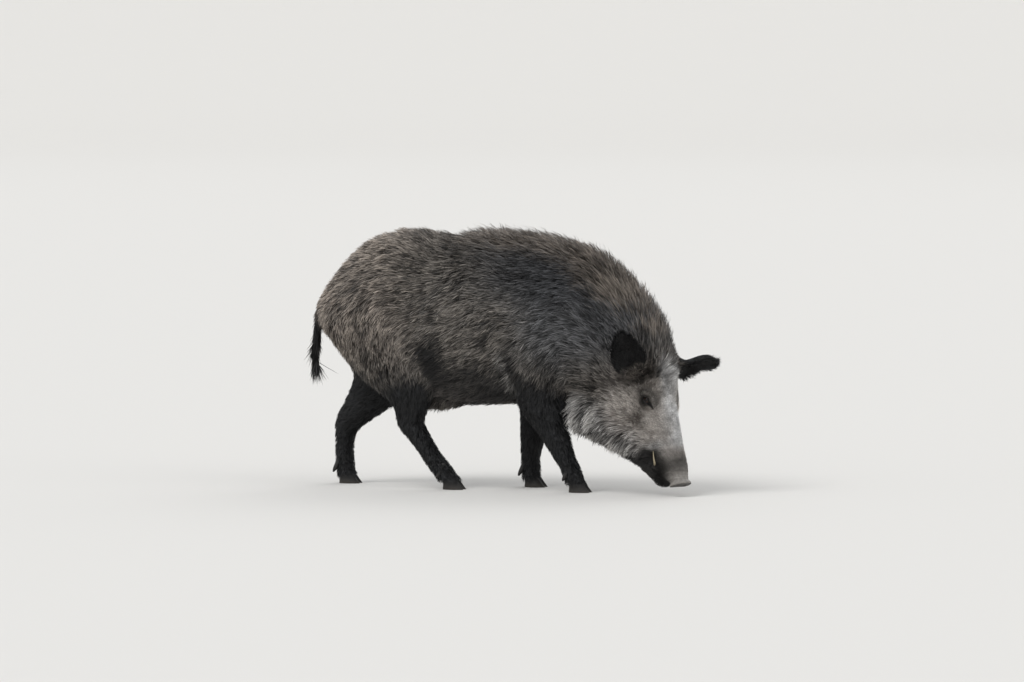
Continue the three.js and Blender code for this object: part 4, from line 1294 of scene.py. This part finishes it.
# %% [markdown]
# Hide shows between the tufts and bare on the nose and the lids. It is leathery and matt where hair
# grows, and damp, blotched and pored where it is bare. Pores are cells of a Voronoi pattern.

# %% Hide
# Looks like worn leather, and like damp rubber on the nose.
hide, tree, shader = finish("boar_hide", 0.6, Specular_IOR_Level=0.4)
pelt = node(tree, "ShaderNodeAttribute", attribute_name="pelt")
bare = node(tree, "ShaderNodeAttribute", attribute_name="bare")
place = node(tree, "ShaderNodeTexCoord")
# Pores of the nose are about 1.5 mm apart, and its blotches about 9 mm.
pores = node(tree, "ShaderNodeTexVoronoi", {"Scale": 650.0}, {"Vector": place.outputs["Object"]})
blotch = node(tree, "ShaderNodeTexNoise", {"Scale": 110.0, "Detail": 4.0, "Roughness": 0.6},
              {"Vector": place.outputs["Object"]})
shade = node(tree, "ShaderNodeMapRange", {"From Min": 0.3, "From Max": 0.7, "To Min": 0.72, "To Max": 1.2},
             {"Value": blotch.outputs["Fac"]})
mottled = node(tree, "ShaderNodeVectorMath", (), {0: pelt.outputs["Color"], 1: shade.outputs["Result"]},
               operation="MULTIPLY")
feed(shader, mottled.outputs["Vector"], "Base Color")
gloss = node(tree, "ShaderNodeMapRange", {"To Min": 0.72, "To Max": 0.42}, {"Value": bare.outputs["Fac"]})
feed(shader, gloss.outputs["Result"], "Roughness")
grain = node(tree, "ShaderNodeMath", (), {0: pores.outputs["Distance"], 1: blotch.outputs["Fac"]},
             operation="ADD")
pitted = node(tree, "ShaderNodeBump", {"Strength": 0.35, "Distance": 0.0006},
              {"Height": grain.outputs["Value"]})
feed(shader, pitted.outputs["Normal"], "Normal")
print("hide: pores", round(1000 / 650, 1), "mm and blotches", round(1000 / 110, 1), "mm apart")

# %% [markdown]
# The one skin stands for all the nodes of flesh. It carries the same markings as the coat, near their
# root colours, because a parting in the fur shows dark.

# %% The skin
skin_mesh = mesh_from("skin", skin_points, skin_faces)
bare_here = np.clip(share["nose"] + hump(np.maximum(lid_distance, 0) / 4), 0, 1)
painted(skin_mesh, mix(root_colour, tip_colour, 0.1))
layer = skin_mesh.attributes.new("bare", "FLOAT", "POINT")
layer.data.foreach_set("value", bare_here.astype(np.float32))


def add_piece(name, mesh, material, *replaced):
    """Links a finished piece, which rides on the one body and stands for frame nodes."""
    piece = bpy.data.objects.new(name, mesh)
    bpy.context.scene.collection.objects.link(piece)
    mesh.materials.append(material)
    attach(piece, "root")
    if replaced:
        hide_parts(*replaced)
    return piece


HARD = ("hoof", "dewclaw", "tusk", "eye")
flesh = [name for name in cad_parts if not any(word in name for word in HARD)]
add_piece("skin", skin_mesh, hide, *flesh)
print("skin stands for", len(flesh), "nodes")

# %% [markdown]
# ## Eyes, tusks and claws
# These hard or wet parts stay pieces of their own. Each is a loft: a closed rim carried along a
# middle line, with a pole at both ends, so the surface has no opening.


# %% Lofts
def loft(rings):
    """Rings of points, first to last, closed by a pole at the mean of the first and of the last ring."""
    count, around = rings.shape[:2]
    points = np.vstack([rings.reshape(-1, 3), rings[0].mean(0), rings[-1].mean(0)])
    index = np.arange(count * around).reshape(count, around)
    a, b = index[:-1], np.roll(index, -1, 1)[:-1]
    c, d = np.roll(index, -1, 1)[1:], index[1:]
    first, last = np.full(around, len(points) - 2), np.full(around, len(points) - 1)
    faces = np.vstack([np.stack([a, b, c], -1).reshape(-1, 3), np.stack([a, c, d], -1).reshape(-1, 3),
                       np.stack([first, np.roll(index[0], -1), index[0]], -1),
                       np.stack([last, index[-1], np.roll(index[-1], -1)], -1)])
    p, q, r = points[faces.T]
    return points, faces if (np.cross(p, q) * r).sum() > 0 else faces[:, ::-1]


def hard_piece(name, points, faces, material, node_name, paint=None):
    """One closed piece that stands for one node of the frame."""
    mesh = mesh_from(name, points, faces)
    if paint is not None:
        painted(mesh, paint)
    add_piece(name, mesh, material, node_name)


around = np.linspace(0, 2 * np.pi, 41)[:-1]
print("a rim of an eye or tusk has", len(around), "points")

# %% [markdown]
# A boar's eye is nearly black. The ball is one closed surface with a slightly raised cornea, coloured
# by the angle from its axis: black pupil, dark brown iris, brownish white. A clear coat over it is the
# film of tears.

# %% Eyes
# Looks like dark wet glass with a sharp small highlight. The film of tears bends light by 1.38.
wet, tree, shader = finish("wet_eye", 0.3, Specular_IOR_Level=0.1, Coat_Weight=0.7, Coat_Roughness=0.03,
                           Coat_IOR=1.38)
feed(shader, node(tree, "ShaderNodeAttribute", attribute_name="pelt").outputs["Color"], "Base Color")
for side, (centre, outward, slit, upper) in eye_axes.items():
    polar = np.linspace(0.03, np.pi - 0.03, 30)[:, None]
    ring = np.cos(around)[None, :, None] * slit + np.sin(around)[None, :, None] * upper
    # The cornea bulges by 0.8 mm over the iris.
    radius = (EYE_RADIUS + 0.8 * hump(polar / 0.5) - 0.2)[..., None]
    polar = polar[..., None]
    rings = centre + radius * np.sin(polar) * ring + radius * np.cos(polar) * outward
    points, faces = loft(rings)
    tilt = np.arccos(np.clip(unit(points - centre) @ outward, -1, 1))
    iris = mix(colour("#1c110b"), colour("#352114"), (0.5 + 0.5 * noise(points, 1.4, 61))[:, None])
    paint = layered(iris, (smoothstep(0.38, 0.3, tilt), colour("#040303")),
                    (smoothstep(0.74, 0.82, tilt), colour("#120b08")),
                    (smoothstep(0.95, 1.15, tilt), colour("#2e241e")))
    word = "right" if side < 0 else "left"
    hard_piece(word + "_eyeball", points, faces, wet, word + "_eye", paint)
    print(word, "eye looks to", outward.round(2))

# %% [markdown]
# The lower tusk grows out and up past the lip on a curve. It is yellowed ivory, stained brown near the
# lip, about a centimetre thick with a section like a rounded triangle.

# %% Tusks
# Looks like old ivory: smooth, a little glossy, yellowed.
ivory, tree, shader = finish("tusk_ivory", 0.35, Specular_IOR_Level=0.5)
feed(shader, node(tree, "ShaderNodeAttribute", attribute_name="pelt").outputs["Color"], "Base Color")
TUSK = {"root": (294, -50, 38), "radius": 4.6, "length": 56, "flare": 21, "rise": 24}
for side, word in ((-1, "right"), (1, "left")):
    t = np.linspace(-0.12, 1, 26)
    rooted = np.clip(t, 0, 1)
    along, front, left = TUSK["root"]
    middle = head_point(along - TUSK["length"] * 0.8 * t * np.abs(t), front + TUSK["rise"] * t,
                        side * (left + TUSK["flare"] * np.sin(t * np.pi / 2)))
    radius = TUSK["radius"] * (1 - 0.86 * rooted ** 1.7)
    # The cross section is a rounded triangle.
    lobed = 1 + 0.1 * np.cos(3 * around)
    arm = (np.cos(around) * lobed)[None, :, None] * HEAD_FRONT \
        + (np.sin(around) * lobed)[None, :, None] * unit(0.6 * HEAD_ALONG + 0.8 * side * HEAD_LEFT)
    points, faces = loft(middle[:, None] + radius[:, None, None] * arm)
    down_it = np.append(np.repeat(t, len(around)), [t[0], t[-1]])
    paint = layered(np.broadcast_to(colour("#a3977f"), points.shape),
                    (smoothstep(0.55, 0.15, down_it), colour("#5a4a36")),
                    (0.35 * smoothstep(0.0, 0.8, noise(points, 6, 62)), colour("#a8987a")))
    hard_piece(word + "_tusk_ivory", points, faces, ivory, word + "_tusk", paint)
    print(word, "tusk has", len(faces), "triangles")

# %% [markdown]
# Each foot has two hooves that bear weight and two dewclaws behind that hang clear. Horn grows down
# from the crown in faint rings about 3 mm apart, is nearly black when damp, and is dusty where it
# meets the ground.

# %% Hooves and dewclaws
# Looks like black horn: a satin shine, faint rings, grey dust at the ground.
horn, tree, shader = finish("hoof_horn", 0.5, Specular_IOR_Level=0.4)
place = node(tree, "ShaderNodeTexCoord")
cut = node(tree, "ShaderNodeSeparateXYZ", (), {"Vector": place.outputs["Object"]})
# Growth rings are about 3 mm apart up the wall.
growth = node(tree, "ShaderNodeTexWave",
              {"Scale": 95.0, "Distortion": 1.6, "Detail": 2.0, "Detail Scale": 1.5},
              {"Vector": place.outputs["Object"]}, bands_direction="Z")
dust = node(tree, "ShaderNodeTexNoise", {"Scale": 160.0, "Detail": 4.0},
            {"Vector": place.outputs["Object"]})
low_down = node(tree, "ShaderNodeMapRange",
                {"From Min": 0.0, "From Max": 0.016, "To Min": 0.75, "To Max": 0.05},
                {"Value": cut.outputs["Z"]})
dusty = node(tree, "ShaderNodeMath", (), {0: low_down.outputs["Result"], 1: dust.outputs["Fac"]},
             operation="MULTIPLY")
banded = node(tree, "ShaderNodeMix", {"A": (*colour("#141312"), 1), "B": (*colour("#1f1d1c"), 1)},
              {"Factor": growth.outputs["Fac"]}, data_type="RGBA")
worn = node(tree, "ShaderNodeMix", {"B": (*colour("#4f4941"), 1)},
            {"Factor": dusty.outputs["Value"], "A": banded.outputs["Result"]}, data_type="RGBA")
feed(shader, worn.outputs["Result"], "Base Color")
ridged = node(tree, "ShaderNodeBump", {"Strength": 0.15, "Distance": 0.0006},
              {"Height": growth.outputs["Fac"]})
feed(shader, ridged.outputs["Normal"], "Normal")
HOOF_TOP, HOOF = 30, {"half_length": 33, "half_width": 13.5, "spread": 14.5, "back_set": 8}
DEWCLAW = {"length": 30, "radius": 8, "spread": 18}
angle = np.linspace(0, 2 * np.pi, 57)[:-1][None, :]
for name, (x0, y0) in FEET.items():
    for side, word in ((1, "left"), (-1, "right")):
        # The wall leans back from a pointed toe; the edge at the ground and the crown are rounded.
        t = np.array([0, 0.0, 0.03, 0.09, 0.2, 0.35, 0.5, 0.65, 0.8, 0.92, 0.98, 1])[:, None]
        inset = np.array([2.2, 0.8, 0.2, 0, 0.2, 0.6, 0.8, 0.7, 0.6, 1.4, 2.6, 5])[:, None]
        length = mix(HOOF["half_length"], HOOF["half_length"] * 0.72, t) - inset
        toe = 1 - 0.35 * np.maximum(0, np.cos(angle)) ** 2
        cleft = np.where(np.sin(angle) * side < 0, 0.9, 1.0)
        across = (HOOF["half_width"] - inset) * np.sin(angle) * toe * cleft * mix(1, 0.9, t)
        heel = 1 - 0.12 * np.maximum(0, -np.cos(angle)) * t
        rings = np.stack([x0 + mix(4, -HOOF["back_set"], t) + length * np.cos(angle) * heel,
                          y0 + side * HOOF["spread"] + across, (HOOF_TOP * t) + 0 * angle], -1)
        points, faces = loft(rings)
        node_name = f"{name}_hoof_{word}"
        hard_piece(f"{node_name}_horn", points, faces, horn, node_name)
        root = np.array([x0 - 34, y0 + side * DEWCLAW["spread"], 62.0])
        axis = unit(np.array([-0.35, side * 0.25, -0.9]))
        t = np.linspace(-0.7, 1, 18)[:, None]  # its root goes 2 cm up into the foot
        radius = DEWCLAW["radius"] * np.sqrt(np.clip(1 - 0.93 * np.maximum(t, 0) ** 2.2, 0.02, 1))
        rings = (root + DEWCLAW["length"] * t * axis)[:, None] + np.stack(
            [radius * np.cos(angle), 0.85 * radius * np.sin(angle), 0 * radius * angle], -1)
        points, faces = loft(rings)
        node_name = f"{name}_dewclaw_{word}"
        hard_piece(f"{node_name}_horn", points, faces, horn, node_name)
print("eyes, tusks and claws done,", clock())

# %% [markdown]
# ## Studio
# The light is that of a bright overcast day: an even dome and two broad suns, the stronger from
# ahead and above, so the coat has soft shade under the belly. The ground is one smooth bowl, 45 m of
# flat floor and a wall that rises from it in a curve, so there is no horizon line behind the boar.

# %% Dome, bowl and suns
world = bpy.data.worlds.new("studio")
bpy.context.scene.world = world
world.use_nodes = True
world.node_tree.nodes["Background"].inputs["Color"].default_value = (*colour("#f6f8fb"), 1)
world.node_tree.nodes["Background"].inputs["Strength"].default_value = 0.8
bend = np.linspace(0, np.pi / 2, 13)
reach = np.concatenate([[0, 15, 45], 45 + 14 * np.sin(bend[1:])])[:, None]
rise_of_wall = np.concatenate([[0, 0, 0], 14 - 14 * np.cos(bend[1:])])[:, None]
sweep = np.linspace(0, 2 * np.pi, 97)[:-1][None]
rings = np.stack([reach * np.cos(sweep), reach * np.sin(sweep), rise_of_wall + 0 * sweep], -1)
index = np.arange(rings.shape[0] * 96).reshape(-1, 96)
beside = np.roll(index, -1, 1)
bowl = np.stack([index[:-1], index[1:], beside[1:], beside[:-1]], -1).reshape(-1, 4)
floor_mesh = mesh_from("floor", rings.reshape(-1, 3), bowl, metres=False)
floor_mesh.validate()
floor = bpy.data.objects.new("floor", floor_mesh)
bpy.context.scene.collection.objects.link(floor)
matt, tree, shader = finish("floor_matt_paint", 0.9, Base_Color=(*colour("#d4d2ce"), 1))
floor.data.materials.append(matt)
for name, azimuth, elevation, strength, softness in (("key", -35, 52, 1.3, 30), ("head", 75, 30, 0.45, 40),
                                                     ("far", 170, 40, 0.4, 40)):
    lamp = bpy.data.lights.new(name, "SUN")
    lamp.energy, lamp.angle = strength, math.radians(softness)
    holder = bpy.data.objects.new(name, lamp)
    bpy.context.scene.collection.objects.link(holder)
    a, e = math.radians(azimuth), math.radians(elevation)
    toward = Vector((math.sin(a) * math.cos(e), -math.cos(a) * math.cos(e), math.sin(e)))
    holder.rotation_euler = toward.to_track_quat("Z", "Y").to_euler()
bpy.context.scene.view_settings.view_transform = "Standard"
print("studio lit by a dome and", len([lamp for lamp in bpy.data.lights]), "suns")

# %% [markdown]
# Last, the scene is brought up to date. The coat may pass the hard facts only by a few tips of hair.

# %% The scene brought up to date
bpy.context.view_layer.update()
print("all done,", clock())
